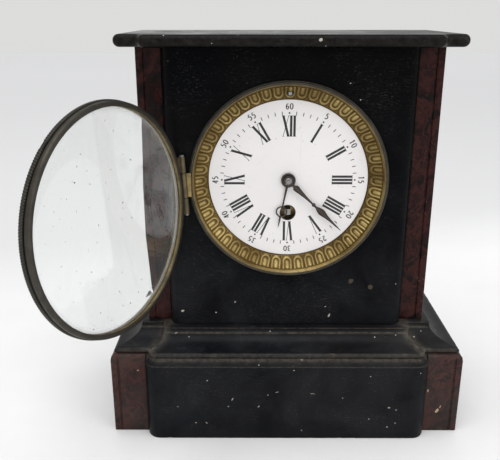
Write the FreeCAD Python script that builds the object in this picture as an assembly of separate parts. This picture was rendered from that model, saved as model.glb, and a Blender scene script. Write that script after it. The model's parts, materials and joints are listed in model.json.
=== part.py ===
"""Mantel clock: a black slate case with red marble strips and a round glazed door.

Lengths are millimetres and angles are degrees. X runs to the right, Y to the back and Z up.
Depths are first counted from the face of the front panel. Each finished piece is then moved so that
the origin is the middle of the base's underside.
"""

import FreeCAD
import Part
import math
import os

# Case
clock_height = 240.0
case_depth = 84.0
body_width = 173.0
panel_width = 144.0
panel_break = 8.3
front_thickness = 20.0
wall_thickness = 10.0
back_thickness = 6.5
slab_thickness = 6.9
slab_overhang = 10.5
slab_edge_round = 3.2
slab_corner_round = 4.0
strip_groove_width = 1.4
strip_groove_depth = 0.7
strip_groove_inset = 4.6

# Base and waist moulding
base_width = 215.0
base_height = 53.6
base_panel_width = 172.0
base_forward = 23.3
base_front_thickness = 17.0
base_marble_thickness = 14.0
base_side_thickness = 12.0
base_bevel = 3.6
marble_bevel = 2.3
bottom_thickness = 6.0
waist_height = 13.0
waist_ledge = 3.8
waist_lip = 3.3
waist_bead = 1.2
cove_mid_run_share = 0.27
cove_mid_rise_share = 0.34

# Bezel, sight ring and dial
dial_rise_share = 0.549
rim_radius = 57.65
rim_width = 1.7
rim_proud = 3.2
rim_bevel = 0.6
ring_width = 9.45
ring_front_proud = 2.2
ring_inner_depth = 4.2
ring_lip = 0.8
ring_lip_width = 1.8
ring_edge = 1.2
tube_inset = 0.95
tube_wall = 0.8
tube_depth = 10.0
hole_clearance = 0.4
dial_margin = 1.7
dial_thickness = 1.5
dial_plate_thickness = 1.0
centre_hole_radius = 3.2
winding_hole_radius = 4.6
winding_drop = 20.0
foot_radius = 1.5
foot_circle_radius = 36.0
foot_angles = (20.0, 160.0, 300.0)
regulator_inset = 3.7
regulator_radius = 1.0
regulator_square = 1.7
regulator_hole_radius = 1.7
regulator_proud = 1.0

# Glazed door
door_drop = 1.2
door_overhang = 2.35
door_skirt_step = 0.7
door_groove_step = 1.3
door_width = 3.4
door_skirt_depth = 2.9
door_groove_width = 0.5
door_knurl_width = 2.1
door_nose = 0.6
door_glass_lap = 0.9
door_glass_back = 2.8
door_glass_thickness = 1.5
door_glass_edge = 0.9
door_bevel_width = 5.0
door_gap = 0.3
door_open_angle = 117.4
hinge_tilt = 3.2
knuckle_radius = 1.7
knuckle_half_length = 7.25
knuckle_side_length = 9.5
knuckle_gap = 0.3
knuckle_room = 0.3
leaf_thickness = 1.5
hinge_pin_radius = 0.8
pin_head_radius = 1.15
pin_head_length = 0.6

# Hands, showing the time
shown_minutes = 22.3
shown_hour = 6.0
hand_thickness = 0.5
minute_hand_length = 43.5
minute_hand_gap = 3.0
hour_hand_length = 29.5
hour_hand_gap = 1.2
hub_radius = 4.3
minute_hub_radius = 2.9
hour_ring_place = 19.5
hour_ring_radius = 3.5
hour_ring_hole = 2.7
minute_outline_shares = ((0.0, 0.020), (0.09, 0.056), (0.17, 0.037), (0.46, 0.014), (0.485, 0.028),
                         (0.51, 0.014), (0.55, 0.016), (0.655, 0.042), (0.76, 0.018), (1.0, 0.005))
hour_outline_shares = ((0.0, 0.030), (0.14, 0.024), (0.55, 0.016), (0.77, 0.016), (0.83, 0.034),
                       (0.90, 0.016), (1.0, 0.008))
collet_radius = 1.9
collet_thickness = 1.0
arbor_tip = 1.2
tip_pin_radius = 0.35
tip_pin_half_length = 2.3

# Movement frame
plate_radius = 41.0
plate_thickness = 2.2
plate_gap = 28.0
motion_space = 6.2
pillar_circle_radius = 36.5
pillar_radius = 2.2
pillar_angles = (50.0, 130.0, 210.0, 330.0)
pillar_tenon_radius = 1.3
pillar_tail = 2.6
pillar_pin_radius = 0.45
pillar_pin_half_length = 3.2
fit_clearance = 0.05
side_clearance = 0.3

# Train, from the barrel to the escape wheel
wheel_thickness = 1.0
great_wheel_teeth = 76
great_wheel_module = 0.46
great_wheel_thickness = 2.0
barrel_radius = 16.4
barrel_wall = 1.2
barrel_front_gap = 2.5
barrel_length = 16.5
barrel_arbor_radius = 2.5
spring_turns = 8
spring_thickness = 0.5
spring_inner_radius = 4.2
intermediate_pinion_leaves = 10
intermediate_wheel_teeth = 64
intermediate_module = 0.46
intermediate_wheel_place = 22.0
centre_pinion_leaves = 12
centre_wheel_teeth = 72
centre_module = 0.36
centre_wheel_place = 25.4
third_pinion_leaves = 6
third_wheel_teeth = 72
third_module = 0.32
third_wheel_place = 13.0
escape_pinion_leaves = 6
escape_teeth = 38
escape_radius = 9.0
escape_tooth_depth = 1.4
escape_height = 22.0
escape_wheel_place = 6.0
pinion_overlap = 0.8
train_arbor_radius = 1.1
fine_arbor_radius = 0.5
train_pivot_radius = 0.7
fine_pivot_radius = 0.3
centre_arbor_radius = 1.0
tooth_addendum_share = 0.75
tooth_dedendum_share = 1.2
leaf_addendum_share = 0.6
leaf_dedendum_share = 1.3
tooth_tip_share = 0.22
tooth_root_share = 0.52
leaf_tip_share = 0.22
leaf_root_share = 0.46
wheel_rim_share = 0.84
wheel_hub_share = 0.26
wheel_spoke_share = 0.13
wheel_spokes = 4

# Motion work
cannon_leaves = 14
minute_wheel_teeth = 42
cannon_module = 0.45
minute_pinion_leaves = 12
hour_wheel_teeth = 48
cannon_width = 2.0
cannon_place = 0.6
hour_wheel_thickness = 0.8
hour_wheel_place = 3.4
cannon_pipe_wall = 0.6
hour_pipe_wall = 0.85
minute_wheel_angle = 135.0
stud_radius = 0.9

# Winding work
winding_square = 3.4
winding_tip_depth = 1.2
winding_pivot_radius = 2.2
ratchet_teeth = 24
ratchet_wheel_radius = 8.0
ratchet_tooth_depth = 1.3
ratchet_thickness = 1.6
ratchet_gap = 0.4
click_length = 9.0
click_radius = 2.4
click_screw_radius = 1.1
click_tip_clear = 0.3
click_tip_angle = -15.0
click_tip_width = 1.5
click_taper_share = 0.9
click_spring_thickness = 0.5
click_spring_length = 13.0
click_spring_reach = 3.2
click_spring_gap = 0.4
click_spring_foot = 2.0

# Escapement, crutch and pendulum
pallet_height = 34.5
pallet_reach_angle = 52.0
pallet_clear = 0.8
pallet_thickness = 1.8
pallet_arm_width = 2.0
pallet_tip_width = 1.3
pallet_hub_radius = 2.4
crutch_gap = 1.2
crutch_radius = 0.7
crutch_hub_thickness = 1.6
crutch_length = 36.5
crutch_hub_radius = 2.0
crutch_fork_gap = 0.35
crutch_fork_width = 1.0
crutch_fork_height = 4.0
cock_gap = 4.8
cock_thickness = 2.2
cock_half_width = 12.0
cock_half_height = 4.0
cock_foot_radius = 3.0
chop_half_width = 4.5
chop_height = 7.0
chop_rise = 4.2
pendulum_behind_cock = 3.8
suspension_length = 10.0
suspension_width = 4.0
suspension_thickness = 0.25
hook_half_width = 1.5
hook_height = 5.0
rod_radius = 1.1
pendulum_length = 107.5
bob_radius = 17.0
bob_thickness = 9.0
rod_tail = 9.0
nut_radius = 3.6
nut_thickness = 3.0

# Back ring, straps and back door
back_tube_outer_radius = 51.4
back_tube_wall = 1.4
back_flange_width = 5.1
back_flange_thickness = 2.0
back_tube_length = 12.0
back_door_thickness = 3.0
back_door_width = 9.5
back_glass_lap = 1.5
back_glass_thickness = 1.4
back_knuckle_radius = 1.6
back_knuckle_outset = 1.9
back_knob_radius = 3.0
back_knob_length = 6.0
back_knob_neck = 1.5
strap_width = 9.0
strap_thickness = 1.5
strap_foot = 7.0
strap_end_gap = 4.0
lug_thickness = 2.0
screw_radius = 1.4
screw_head_radius = 2.6
screw_head_thickness = 1.4
slot_width = 0.5
slot_depth = 0.6

overrun = 5.0

# Places worked out from the sizes above
body_half = body_width / 2
panel_half = panel_width / 2
base_half = base_width / 2
base_panel_half = base_panel_width / 2
inner_half = body_half - wall_thickness
body_bottom = base_height + waist_height
body_top = clock_height - slab_thickness
back_inner = case_depth - back_thickness
dial_height = body_bottom + (body_top - body_bottom) * dial_rise_share
base_face = -base_forward
base_marble_face = base_face + panel_break
base_middle = (base_face + case_depth) / 2
ring_outer_radius = rim_radius - rim_width
ring_inner_radius = ring_outer_radius - ring_width
tube_outer_radius = ring_outer_radius - tube_inset
tube_inner_radius = tube_outer_radius - tube_wall
dial_radius = ring_inner_radius + dial_margin
regulator_circle_radius = ring_inner_radius + regulator_inset
door_radius = rim_radius + door_overhang
door_skirt_radius = door_radius - door_skirt_step
door_groove_radius = door_radius - door_groove_step
door_inner_radius = door_radius - door_width
door_glass_radius = door_inner_radius + door_glass_lap
back_tube_inner_radius = back_tube_outer_radius - back_tube_wall
back_hole_radius = back_tube_outer_radius + hole_clearance
back_flange_radius = back_tube_outer_radius + back_flange_width
back_door_inner_radius = back_flange_radius - back_door_width
back_glass_radius = back_door_inner_radius + back_glass_lap
dial_face = ring_inner_depth + ring_lip + fit_clearance
dial_back = dial_face + dial_thickness
dial_plate_front = dial_back + fit_clearance
dial_plate_back = dial_plate_front + dial_plate_thickness
front_plate_front = dial_plate_back + motion_space
front_plate_back = front_plate_front + plate_thickness
back_plate_front = front_plate_back + plate_gap
back_plate_back = back_plate_front + plate_thickness
hinge_x = -door_radius
hinge_y = -(rim_proud + door_gap)
door_height = dial_height - door_drop
cock_front = back_plate_back + cock_gap
cock_back = cock_front + cock_thickness
pendulum_y = cock_back + pendulum_behind_cock
back_hinge_x = back_flange_radius + back_knuckle_outset
back_hinge_y = case_depth + back_flange_thickness + door_gap / 2
minute_angle = shown_minutes / 60 * 360
hour_angle = (shown_hour + shown_minutes / 60) / 12 * 360

up = FreeCAD.Vector(0, 0, 1)
backwards = FreeCAD.Vector(0, 1, 0)
sideways = FreeCAD.Vector(1, 0, 0)
origin_shift = FreeCAD.Vector(0, -base_middle, 0)
hinge_line = FreeCAD.Vector(-math.sin(math.radians(hinge_tilt)), 0, math.cos(math.radians(hinge_tilt)))


def at(x, y, z):
    return FreeCAD.Vector(x, y, z)


def block(x0, x1, y0, y1, z0, z1):
    """A box between two corners."""
    return Part.makeBox(x1 - x0, y1 - y0, z1 - z0, at(x0, y0, z0))


def round_bar(radius, y0, y1, x=0, z=0):
    """A cylinder along Y. Height z is counted from the dial's centre."""
    return Part.makeCylinder(radius, y1 - y0, at(x, y0, dial_height + z), backwards)


def post(radius, x, y, z0, z1):
    """An upright cylinder."""
    return Part.makeCylinder(radius, z1 - z0, at(x, y, z0), up)


def turned(outline, height=dial_height):
    """A ring turned about the Y axis at the given height, from (radius, depth) points."""
    points = [at(r, y, height) for r, y in outline]
    points.append(points[0])
    face = Part.Face(Part.makePolygon(points))
    return face.revolve(at(0, 0, height), backwards, 360)


def plate_from(points, y0, y1):
    """A plate between two depths, from (x, height above the dial's centre) points."""
    corners = [at(x, y0, dial_height + z) for x, z in points]
    corners.append(corners[0])
    return Part.Face(Part.makePolygon(corners)).extrude(at(0, y1 - y0, 0))


def polar(radius, angle, x=0, z=0):
    """A point at an angle counted from +X towards +Z."""
    a = math.radians(angle)
    return (x + radius * math.cos(a), z + radius * math.sin(a))


def heading(angle):
    """The unit direction at an angle counted from +X towards +Z."""
    a = math.radians(angle)
    return (math.cos(a), math.sin(a))


def meeting_point(r0, x1, z1, r1, side):
    """Where a circle about the dial's centre meets a circle about (x1, z1)."""
    d = math.hypot(x1, z1)
    along = (r0 * r0 - r1 * r1 + d * d) / (2 * d)
    across = math.sqrt(r0 * r0 - along * along) * side
    return ((along * x1 - across * z1) / d, (along * z1 + across * x1) / d)


def pitch_radius(teeth, module):
    return teeth * module / 2


def toothed_points(teeth, module, addendum, dedendum, tip_share, root_share, phase, x, z):
    """Straight-flanked teeth, the first one centred on the phase angle."""
    tip = pitch_radius(teeth, module) + addendum * module
    root = pitch_radius(teeth, module) - dedendum * module
    pitch = 360.0 / teeth
    points = []
    for i in range(teeth):
        middle = phase + i * pitch
        points.append(polar(root, middle - root_share * pitch / 2, x, z))
        points.append(polar(tip, middle - tip_share * pitch / 2, x, z))
        points.append(polar(tip, middle + tip_share * pitch / 2, x, z))
        points.append(polar(root, middle + root_share * pitch / 2, x, z))
    return points


def crossed_out(wheel, outer, hub, spoke, y0, y1, x, z):
    """Cut the windows between a wheel's rim, its hub and its spokes."""
    windows = round_bar(outer, y0 - overrun, y1 + overrun, x, z)
    windows = windows.cut(round_bar(hub, y0 - overrun, y1 + overrun, x, z))
    for i in range(wheel_spokes // 2):
        arm = block(x - outer, x + outer, y0 - overrun, y1 + overrun,
                    dial_height + z - spoke / 2, dial_height + z + spoke / 2)
        arm.rotate(at(x, 0, dial_height + z), backwards, i * 360 / wheel_spokes)
        windows = windows.cut(arm)
    return wheel.cut(windows)


def wheel(teeth, module, y0, y1, phase, x=0, z=0):
    """A crossed-out wheel with a tooth on the phase angle."""
    points = toothed_points(teeth, module, tooth_addendum_share, tooth_dedendum_share,
                            tooth_tip_share, tooth_root_share, phase, x, z)
    radius = pitch_radius(teeth, module)
    return crossed_out(plate_from(points, y0, y1), radius * wheel_rim_share,
                       radius * wheel_hub_share, radius * wheel_spoke_share, y0, y1, x, z)


def pinion(leaves, module, y0, y1, gap_angle, x=0, z=0):
    """A pinion with a gap between two leaves on the given angle."""
    points = toothed_points(leaves, module, leaf_addendum_share, leaf_dedendum_share,
                            leaf_tip_share, leaf_root_share, gap_angle + 180.0 / leaves, x, z)
    return plate_from(points, y0, y1)


def arbor(radius, pivot, x, z, y0=front_plate_back, y1=back_plate_front):
    """A spindle between two plates, with a pivot that runs in each of them."""
    bar = round_bar(radius, y0 + side_clearance, y1 - side_clearance, x, z)
    ends = round_bar(pivot, y0 - plate_thickness, y1 + plate_thickness, x, z)
    return bar.fuse(ends)


def angle_to(x0, z0, x1, z1):
    return math.degrees(math.atan2(z1 - z0, x1 - x0))


def joined(*shapes):
    result = shapes[0]
    for shape in shapes[1:]:
        result = result.fuse(shape)
    return result.removeSplitter()


def save(name, *shapes):
    """Write a node: one or more solids, moved to the clock's own origin."""
    solids = []
    for shape in shapes:
        solids.extend(shape.Solids)
    for solid in solids:
        solid.translate(origin_shift)
    whole = solids[0] if len(solids) == 1 else Part.makeCompound(solids)
    whole.exportStep("parts/" + name + ".step")
    print(name, len(solids), "solid(s)", round(whole.Volume, 1), "mm3")


# Places of the train's arbors
great_to_intermediate = (pitch_radius(great_wheel_teeth, great_wheel_module)
                         + pitch_radius(intermediate_pinion_leaves, great_wheel_module))
intermediate_to_centre = (pitch_radius(intermediate_wheel_teeth, intermediate_module)
                          + pitch_radius(centre_pinion_leaves, intermediate_module))
centre_to_third = (pitch_radius(centre_wheel_teeth, centre_module)
                   + pitch_radius(third_pinion_leaves, centre_module))
third_to_escape = (pitch_radius(third_wheel_teeth, third_module)
                   + pitch_radius(escape_pinion_leaves, third_module))
cannon_to_minute = (pitch_radius(cannon_leaves, cannon_module)
                    + pitch_radius(minute_wheel_teeth, cannon_module))
minute_pinion_module = 2 * cannon_to_minute / (minute_pinion_leaves + hour_wheel_teeth)
intermediate_x, intermediate_z = meeting_point(intermediate_to_centre, 0, -winding_drop,
                                               great_to_intermediate, -1)
third_x, third_z = meeting_point(centre_to_third, 0, escape_height, third_to_escape, -1)
minute_wheel_x, minute_wheel_z = polar(cannon_to_minute, minute_wheel_angle)

great_wheel_front = front_plate_back + barrel_front_gap + barrel_length - great_wheel_thickness
intermediate_wheel_front = front_plate_back + intermediate_wheel_place
centre_wheel_front = front_plate_back + centre_wheel_place
third_wheel_front = front_plate_back + third_wheel_place
escape_wheel_front = front_plate_back + escape_wheel_place
cannon_front = front_plate_front - cannon_place - cannon_width
hour_wheel_front = front_plate_front - hour_wheel_place - hour_wheel_thickness
hour_hand_front = dial_face - hour_hand_gap - hand_thickness
minute_hand_front = dial_face - minute_hand_gap - hand_thickness
collet_front = minute_hand_front - collet_thickness
cannon_pipe_radius = centre_arbor_radius + fit_clearance + cannon_pipe_wall
hour_pipe_hole = cannon_pipe_radius + fit_clearance
hour_pipe_radius = hour_pipe_hole + hour_pipe_wall
regulator_z = regulator_circle_radius
pallet_z = dial_height + pallet_height


def top_slab():
    """Slab with a full round edge, whose middle breaks forward over the panel."""
    half = body_half + slab_overhang
    middle = panel_half + slab_overhang
    end_face = panel_break - slab_overhang
    face = -slab_overhang
    turn = panel_break / 2
    corner = slab_corner_round
    bend = math.sqrt(0.5)
    z = body_top
    right = [
        Part.LineSegment(at(0, face, z), at(middle - turn, face, z)),
        Part.Arc(at(middle - turn, face, z),
                 at(middle - turn + turn * bend, face + turn - turn * bend, z),
                 at(middle, face + turn, z)),
        Part.Arc(at(middle, face + turn, z),
                 at(middle + turn - turn * bend, face + turn + turn * bend, z),
                 at(middle + turn, end_face, z)),
        Part.LineSegment(at(middle + turn, end_face, z), at(half - corner, end_face, z)),
        Part.Arc(at(half - corner, end_face, z),
                 at(half - corner + corner * bend, end_face + corner - corner * bend, z),
                 at(half, end_face + corner, z)),
        Part.LineSegment(at(half, end_face + corner, z), at(half, case_depth, z)),
        Part.LineSegment(at(half, case_depth, z), at(0, case_depth, z)),
    ]
    outline = Part.Wire([piece.toShape() for piece in right])
    mirrored = outline.mirror(at(0, 0, 0), sideways)
    halves = [Part.Wire(Part.sortEdges(w.Edges)[0]) for w in (outline, mirrored)]
    closed = Part.Wire(Part.sortEdges(halves[0].Edges + halves[1].Edges)[0])
    slab = Part.Face(closed).extrude(at(0, 0, slab_thickness)).removeSplitter()
    edges = []
    for edge in slab.Edges:
        box = edge.BoundBox
        flat = box.ZLength < fit_clearance
        at_back = box.YMin > case_depth - fit_clearance
        if flat and not at_back:
            edges.append(edge)
    return slab.makeFillet(slab_edge_round, edges)


def rounded_front_block(half, y0, y1, z0, z1, corner):
    """A block whose two upright front corners are round."""
    body = block(-half, half, y0, y1, z0, z1)
    edges = [e for e in body.Edges
             if e.BoundBox.ZLength > z1 - z0 - fit_clearance and e.BoundBox.YMax < y0 + fit_clearance]
    return body.makeFillet(corner - fit_clearance, edges)


def front_panel():
    panel = rounded_front_block(panel_half, 0, front_thickness, body_bottom, body_top, panel_break)
    hole = round_bar(tube_outer_radius + hole_clearance, -overrun, front_thickness + overrun)
    return panel.cut(hole)


def marble_strip(side):
    """Upright strip of marble with a scratched groove near its outer edge."""
    inner = side * panel_half
    outer = side * body_half
    strip = block(min(inner, outer), max(inner, outer), panel_break, front_thickness,
                  body_bottom, body_top)
    middle = outer - side * strip_groove_inset
    groove = block(middle - strip_groove_width / 2, middle + strip_groove_width / 2,
                   panel_break - overrun, panel_break + strip_groove_depth,
                   body_bottom - overrun, body_top + overrun)
    return strip.cut(groove)


def side_wall(side):
    inner = side * inner_half
    outer = side * body_half
    return block(min(inner, outer), max(inner, outer), front_thickness, case_depth,
                 body_bottom, body_top)


def back_wall():
    wall = block(-inner_half, inner_half, back_inner, case_depth, body_bottom, body_top)
    return wall.cut(round_bar(back_hole_radius, back_inner - overrun, case_depth + overrun))


def cove_points(start, reach, across):
    """Moulding section: a bead under the ledge, a hollow curve and an upright lip.

    start is where the ledge ends, reach is the signed run from there to the lip, and across turns
    a place along the run and a height into a point.
    """
    top = body_bottom
    bottom = base_height
    low = bottom + waist_lip
    high = top - waist_bead
    p0 = across(start, high)
    p1 = across(start + reach * cove_mid_run_share, low + (high - low) * cove_mid_rise_share)
    p2 = across(start + reach * (1 - cove_mid_run_share / 2), low)
    p3 = across(start + reach, low - waist_lip * cove_mid_run_share)
    curve = Part.Arc(p0, p1, p2).toShape()
    nose = Part.LineSegment(p2, p3).toShape()
    lip = Part.LineSegment(p3, across(start + reach, bottom)).toShape()
    ledge = Part.LineSegment(across(start, top), p0).toShape()
    return [ledge, curve, nose, lip]


def coved_mass(half, half_run, face, face_run):
    """A solid coved on its front and both sides, reaching from its face to the case's back."""
    def side_point(s, z):
        return at(s, face - face_run - overrun, z)

    def front_point(s, z):
        return at(-base_half - overrun, s, z)

    right = cove_points(half, half_run, side_point)
    left = cove_points(-half, -half_run, side_point)
    top = Part.LineSegment(side_point(half, body_bottom), side_point(-half, body_bottom)).toShape()
    foot = Part.LineSegment(side_point(half + half_run, base_height),
                            side_point(-half - half_run, base_height)).toShape()
    wire = Part.Wire(Part.sortEdges(right + left + [top, foot])[0])
    depth = case_depth - (face - face_run - overrun)
    across = Part.Face(wire).extrude(at(0, depth, 0))
    front = cove_points(face, -face_run, front_point)
    roof = Part.LineSegment(front_point(face, body_bottom),
                            front_point(case_depth, body_bottom)).toShape()
    rear = Part.LineSegment(front_point(case_depth, body_bottom),
                            front_point(case_depth, base_height)).toShape()
    floor = Part.LineSegment(front_point(face - face_run, base_height),
                             front_point(case_depth, base_height)).toShape()
    wire = Part.Wire(Part.sortEdges(front + [roof, rear, floor])[0])
    length = 2 * (base_half + overrun)
    return across.common(Part.Face(wire).extrude(at(length, 0, 0)))


def waist_side_region(side):
    """Plan of a side length of moulding, cut to a mitre at the front corner."""
    reach = base_half + overrun
    inset = wall_thickness
    corner = (side * (body_half - inset), front_thickness)
    run = reach - (body_half - inset)
    mitre_run = front_thickness - base_marble_face
    slope = mitre_run / (base_half - (body_half - inset))
    far = (side * reach, front_thickness - run * slope)
    points = [corner, far, (side * reach, case_depth + overrun),
              (side * (body_half - inset), case_depth + overrun)]
    corners = [at(x, y, base_height - overrun) for x, y in points]
    corners.append(corners[0])
    return Part.Face(Part.makePolygon(corners)).extrude(at(0, 0, waist_height + 2 * overrun))


def waist_mouldings():
    """Front, left, right and back lengths of the coved moulding under the body."""
    lip_front = base_forward - base_bevel - waist_ledge
    lip_side = base_half - marble_bevel - body_half - waist_ledge
    lip_centre_side = base_panel_half - marble_bevel - panel_half - waist_ledge
    outer_face = panel_break - waist_ledge
    lip_outer_front = outer_face - base_marble_face - marble_bevel
    mass = coved_mass(body_half + waist_ledge, lip_side, outer_face, lip_outer_front)
    middle = coved_mass(panel_half + waist_ledge, lip_centre_side, -waist_ledge, lip_front)
    whole = mass.fuse(middle)
    hollow = block(-inner_half, inner_half, front_thickness, back_inner,
                   base_height - overrun, body_bottom + overrun)
    whole = whole.cut(hollow)
    left = whole.common(waist_side_region(-1))
    right = whole.common(waist_side_region(1))
    rear_zone = block(-inner_half, inner_half, back_inner, case_depth + overrun,
                      base_height - overrun, body_bottom + overrun)
    rear = whole.common(rear_zone)
    front = whole.cut(left).cut(right).cut(rear)
    return front.removeSplitter(), left.removeSplitter(), right.removeSplitter(), rear


def bevelled(shape, size, wanted):
    """Bevel the top edges for which wanted(box) is true."""
    edges = [e for e in shape.Edges
             if e.BoundBox.ZMin > base_height - fit_clearance and wanted(e.BoundBox)]
    return shape.makeChamfer(size, edges)


def base_front():
    back = base_face + base_front_thickness
    body = rounded_front_block(base_panel_half, base_face, back, 0, base_height, panel_break)
    return bevelled(body, base_bevel, lambda box: box.YMin < base_face + panel_break / 2)


def base_marble(side):
    inner = side * base_panel_half
    outer = side * base_half
    body = block(min(inner, outer), max(inner, outer), base_marble_face,
                 base_marble_face + base_marble_thickness, 0, base_height)
    body = bevelled(body, marble_bevel, lambda box: box.YMax < base_marble_face + fit_clearance
                    or abs((box.XMin + box.XMax) / 2 - outer) < fit_clearance)
    middle = outer - side * strip_groove_inset
    groove = block(middle - strip_groove_width / 2, middle + strip_groove_width / 2,
                   base_marble_face - overrun, base_marble_face + strip_groove_depth,
                   -overrun, base_height - marble_bevel - strip_groove_depth)
    return body.cut(groove)


def base_side(side):
    inner = side * (base_half - base_side_thickness)
    outer = side * base_half
    body = block(min(inner, outer), max(inner, outer), base_marble_face + base_marble_thickness,
                 case_depth, 0, base_height)
    return bevelled(body, marble_bevel,
                    lambda box: abs((box.XMin + box.XMax) / 2 - outer) < fit_clearance)


def base_back():
    half = base_half - base_side_thickness
    return block(-half, half, back_inner, case_depth, 0, base_height)


def bottom_plate():
    """Floor of the base, fitted inside the front, the sides and the back."""
    half = base_half - base_side_thickness
    marble_back = base_marble_face + base_marble_thickness
    floor = block(-half, half, marble_back, back_inner, 0, bottom_thickness)
    tongue = block(-base_panel_half, base_panel_half, base_face + base_front_thickness, marble_back,
                   0, bottom_thickness)
    return joined(floor, tongue)


def ring_back(radius):
    """Depth of the sight ring's sloping back at a radius."""
    r0 = ring_inner_radius + ring_lip_width
    y0 = ring_inner_depth + ring_lip
    y1 = ring_edge - ring_front_proud
    return y0 + (y1 - y0) * (radius - r0) / (ring_outer_radius - r0)


def leaned(shape):
    """Lean an upright piece of the door's hinge: the hinge has worn, and its top stands outwards."""
    shape.rotate(at(hinge_x, hinge_y, door_height), backwards, -hinge_tilt)
    return shape


def door_post(radius, z0, z1):
    """A cylinder on the door hinge's line, between two places counted from its middle."""
    return leaned(post(radius, hinge_x, hinge_y, door_height + z0, door_height + z1))


def door_knuckle(z0, z1, leaf_x, leaf_y):
    """A knuckle of the door's hinge: a leaning barrel on an upright leaf that is a little shorter."""
    leaf = block(min(hinge_x, leaf_x), max(hinge_x, leaf_x), min(hinge_y, leaf_y), max(hinge_y, leaf_y),
                 door_height + z0 + knuckle_gap, door_height + z1 - knuckle_gap)
    return door_post(knuckle_radius, z0, z1).fuse(leaf)


def knuckle(radius, x, y, z, z0, z1, leaf_x, leaf_y):
    """A hinge knuckle between two heights about z, with its leaf reaching to leaf_x."""
    barrel = post(radius, x, y, z + z0, z + z1)
    leaf = block(min(x, leaf_x), max(x, leaf_x), min(y, leaf_y), max(y, leaf_y), z + z0, z + z1)
    return barrel.fuse(leaf)


def pin_hole(x, y, z, half):
    return post(hinge_pin_radius + fit_clearance, x, y, z - half - overrun, z + half + overrun)


def door_pin_hole(half):
    return door_post(hinge_pin_radius + fit_clearance, -half - overrun, half + overrun)


def bezel_ring():
    """Fixed rim on the slate, its tube in the hole, and the middle knuckle of the door hinge."""
    seat_outer = ring_outer_radius + fit_clearance
    ring = turned([
        (rim_radius, 0), (rim_radius, rim_bevel - rim_proud), (rim_radius - rim_bevel, -rim_proud),
        (seat_outer, -rim_proud), (seat_outer, ring_back(seat_outer) + fit_clearance),
        (tube_inner_radius, ring_back(tube_inner_radius) + fit_clearance),
        (tube_inner_radius, tube_depth), (tube_outer_radius, tube_depth), (tube_outer_radius, 0)])
    half = knuckle_half_length
    leaf_back = hinge_y + door_gap + leaf_thickness
    eye = door_knuckle(-half, half, rim_bevel - rim_radius, leaf_back)
    swing = block(hinge_x, 0, hinge_y - knuckle_radius, hinge_y + door_gap,
                  door_height - half, door_height + half)
    swing = swing.cut(door_post(knuckle_radius, -half, half))
    return joined(ring, eye.cut(swing)).cut(door_pin_hole(half))


def sight_ring():
    """Gilt ring that slopes down from the rim to the dial."""
    ring = turned([
        (ring_outer_radius, -ring_front_proud), (ring_inner_radius, ring_inner_depth),
        (ring_inner_radius, ring_inner_depth + ring_lip),
        (ring_inner_radius + ring_lip_width, ring_inner_depth + ring_lip),
        (ring_outer_radius, ring_edge - ring_front_proud)])
    return ring.cut(round_bar(regulator_hole_radius, -overrun, front_plate_front, 0, regulator_z))


def dial():
    disc = round_bar(dial_radius, dial_face, dial_back)
    disc = disc.cut(round_bar(centre_hole_radius, dial_face - overrun, dial_back + overrun))
    return disc.cut(round_bar(winding_hole_radius, dial_face - overrun, dial_back + overrun, 0,
                              -winding_drop))


def dial_plate():
    """Brass plate behind the enamel, with three feet that stand in the movement's front plate."""
    y0 = dial_plate_front
    y1 = dial_plate_back
    disc = round_bar(tube_inner_radius - fit_clearance, y0, y1)
    for radius, z in ((centre_hole_radius, 0), (winding_hole_radius, -winding_drop),
                      (regulator_radius + fit_clearance, regulator_z)):
        disc = disc.cut(round_bar(radius, y0 - overrun, y1 + overrun, 0, z))
    feet = []
    for angle in foot_angles:
        x, z = polar(foot_circle_radius, angle)
        shank = round_bar(foot_radius, y1 - fit_clearance, front_plate_front, x, z)
        tenon = round_bar(foot_radius / 2, front_plate_front - fit_clearance, front_plate_back, x, z)
        feet.append(shank.fuse(tenon))
    return joined(disc, *feet)


def door_turn(shape):
    """Swing a piece of the door from shut to the open place that it rests in."""
    shape.rotate(at(hinge_x, hinge_y, door_height), hinge_line, -door_open_angle)
    return shape


def door_rim():
    """Turned rim: smooth skirt, groove, wide front band and a seat for the glass."""
    rear = hinge_y
    groove = rear - door_skirt_depth
    band = groove - door_groove_width
    front = band - door_knurl_width
    glass_back = rear - door_glass_back
    glass_front = glass_back - door_glass_thickness
    seat = door_glass_radius + fit_clearance
    ring = turned([
        (door_inner_radius, rear), (door_skirt_radius, rear), (door_skirt_radius, groove),
        (door_groove_radius, groove), (door_groove_radius, band), (door_radius, band),
        (door_radius, front), (door_radius - door_nose, front - door_nose),
        (door_inner_radius + door_nose, front - door_nose), (door_inner_radius, front),
        (door_inner_radius, glass_front - fit_clearance), (seat, glass_front - fit_clearance),
        (seat, glass_back + fit_clearance), (door_inner_radius, glass_back + fit_clearance)],
        door_height)
    half = knuckle_half_length + knuckle_gap
    ring = ring.cut(door_post(knuckle_radius + knuckle_room, -half, half))
    leaf_x = -door_inner_radius - fit_clearance
    leaf_y = hinge_y - leaf_thickness
    far = half + knuckle_side_length
    eyes = [door_knuckle(a, b, leaf_x, leaf_y) for a, b in ((half, far), (-far, -half))]
    return door_turn(joined(ring, *eyes).cut(door_pin_hole(far)))


def door_glass():
    """Round glass with a bevelled front edge."""
    back = hinge_y - door_glass_back
    front = back - door_glass_thickness
    disc = turned([
        (0, back), (door_glass_radius, back), (door_glass_radius, back - door_glass_edge),
        (door_glass_radius - door_bevel_width, front), (0, front)], door_height)
    return door_turn(disc)


def headed_pin(x, y, z, half):
    pin = post(hinge_pin_radius, x, y, z - half, z + half)
    heads = [post(pin_head_radius, x, y, z + half, z + half + pin_head_length),
             post(pin_head_radius, x, y, z - half - pin_head_length, z - half)]
    return joined(pin, *heads)


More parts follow.
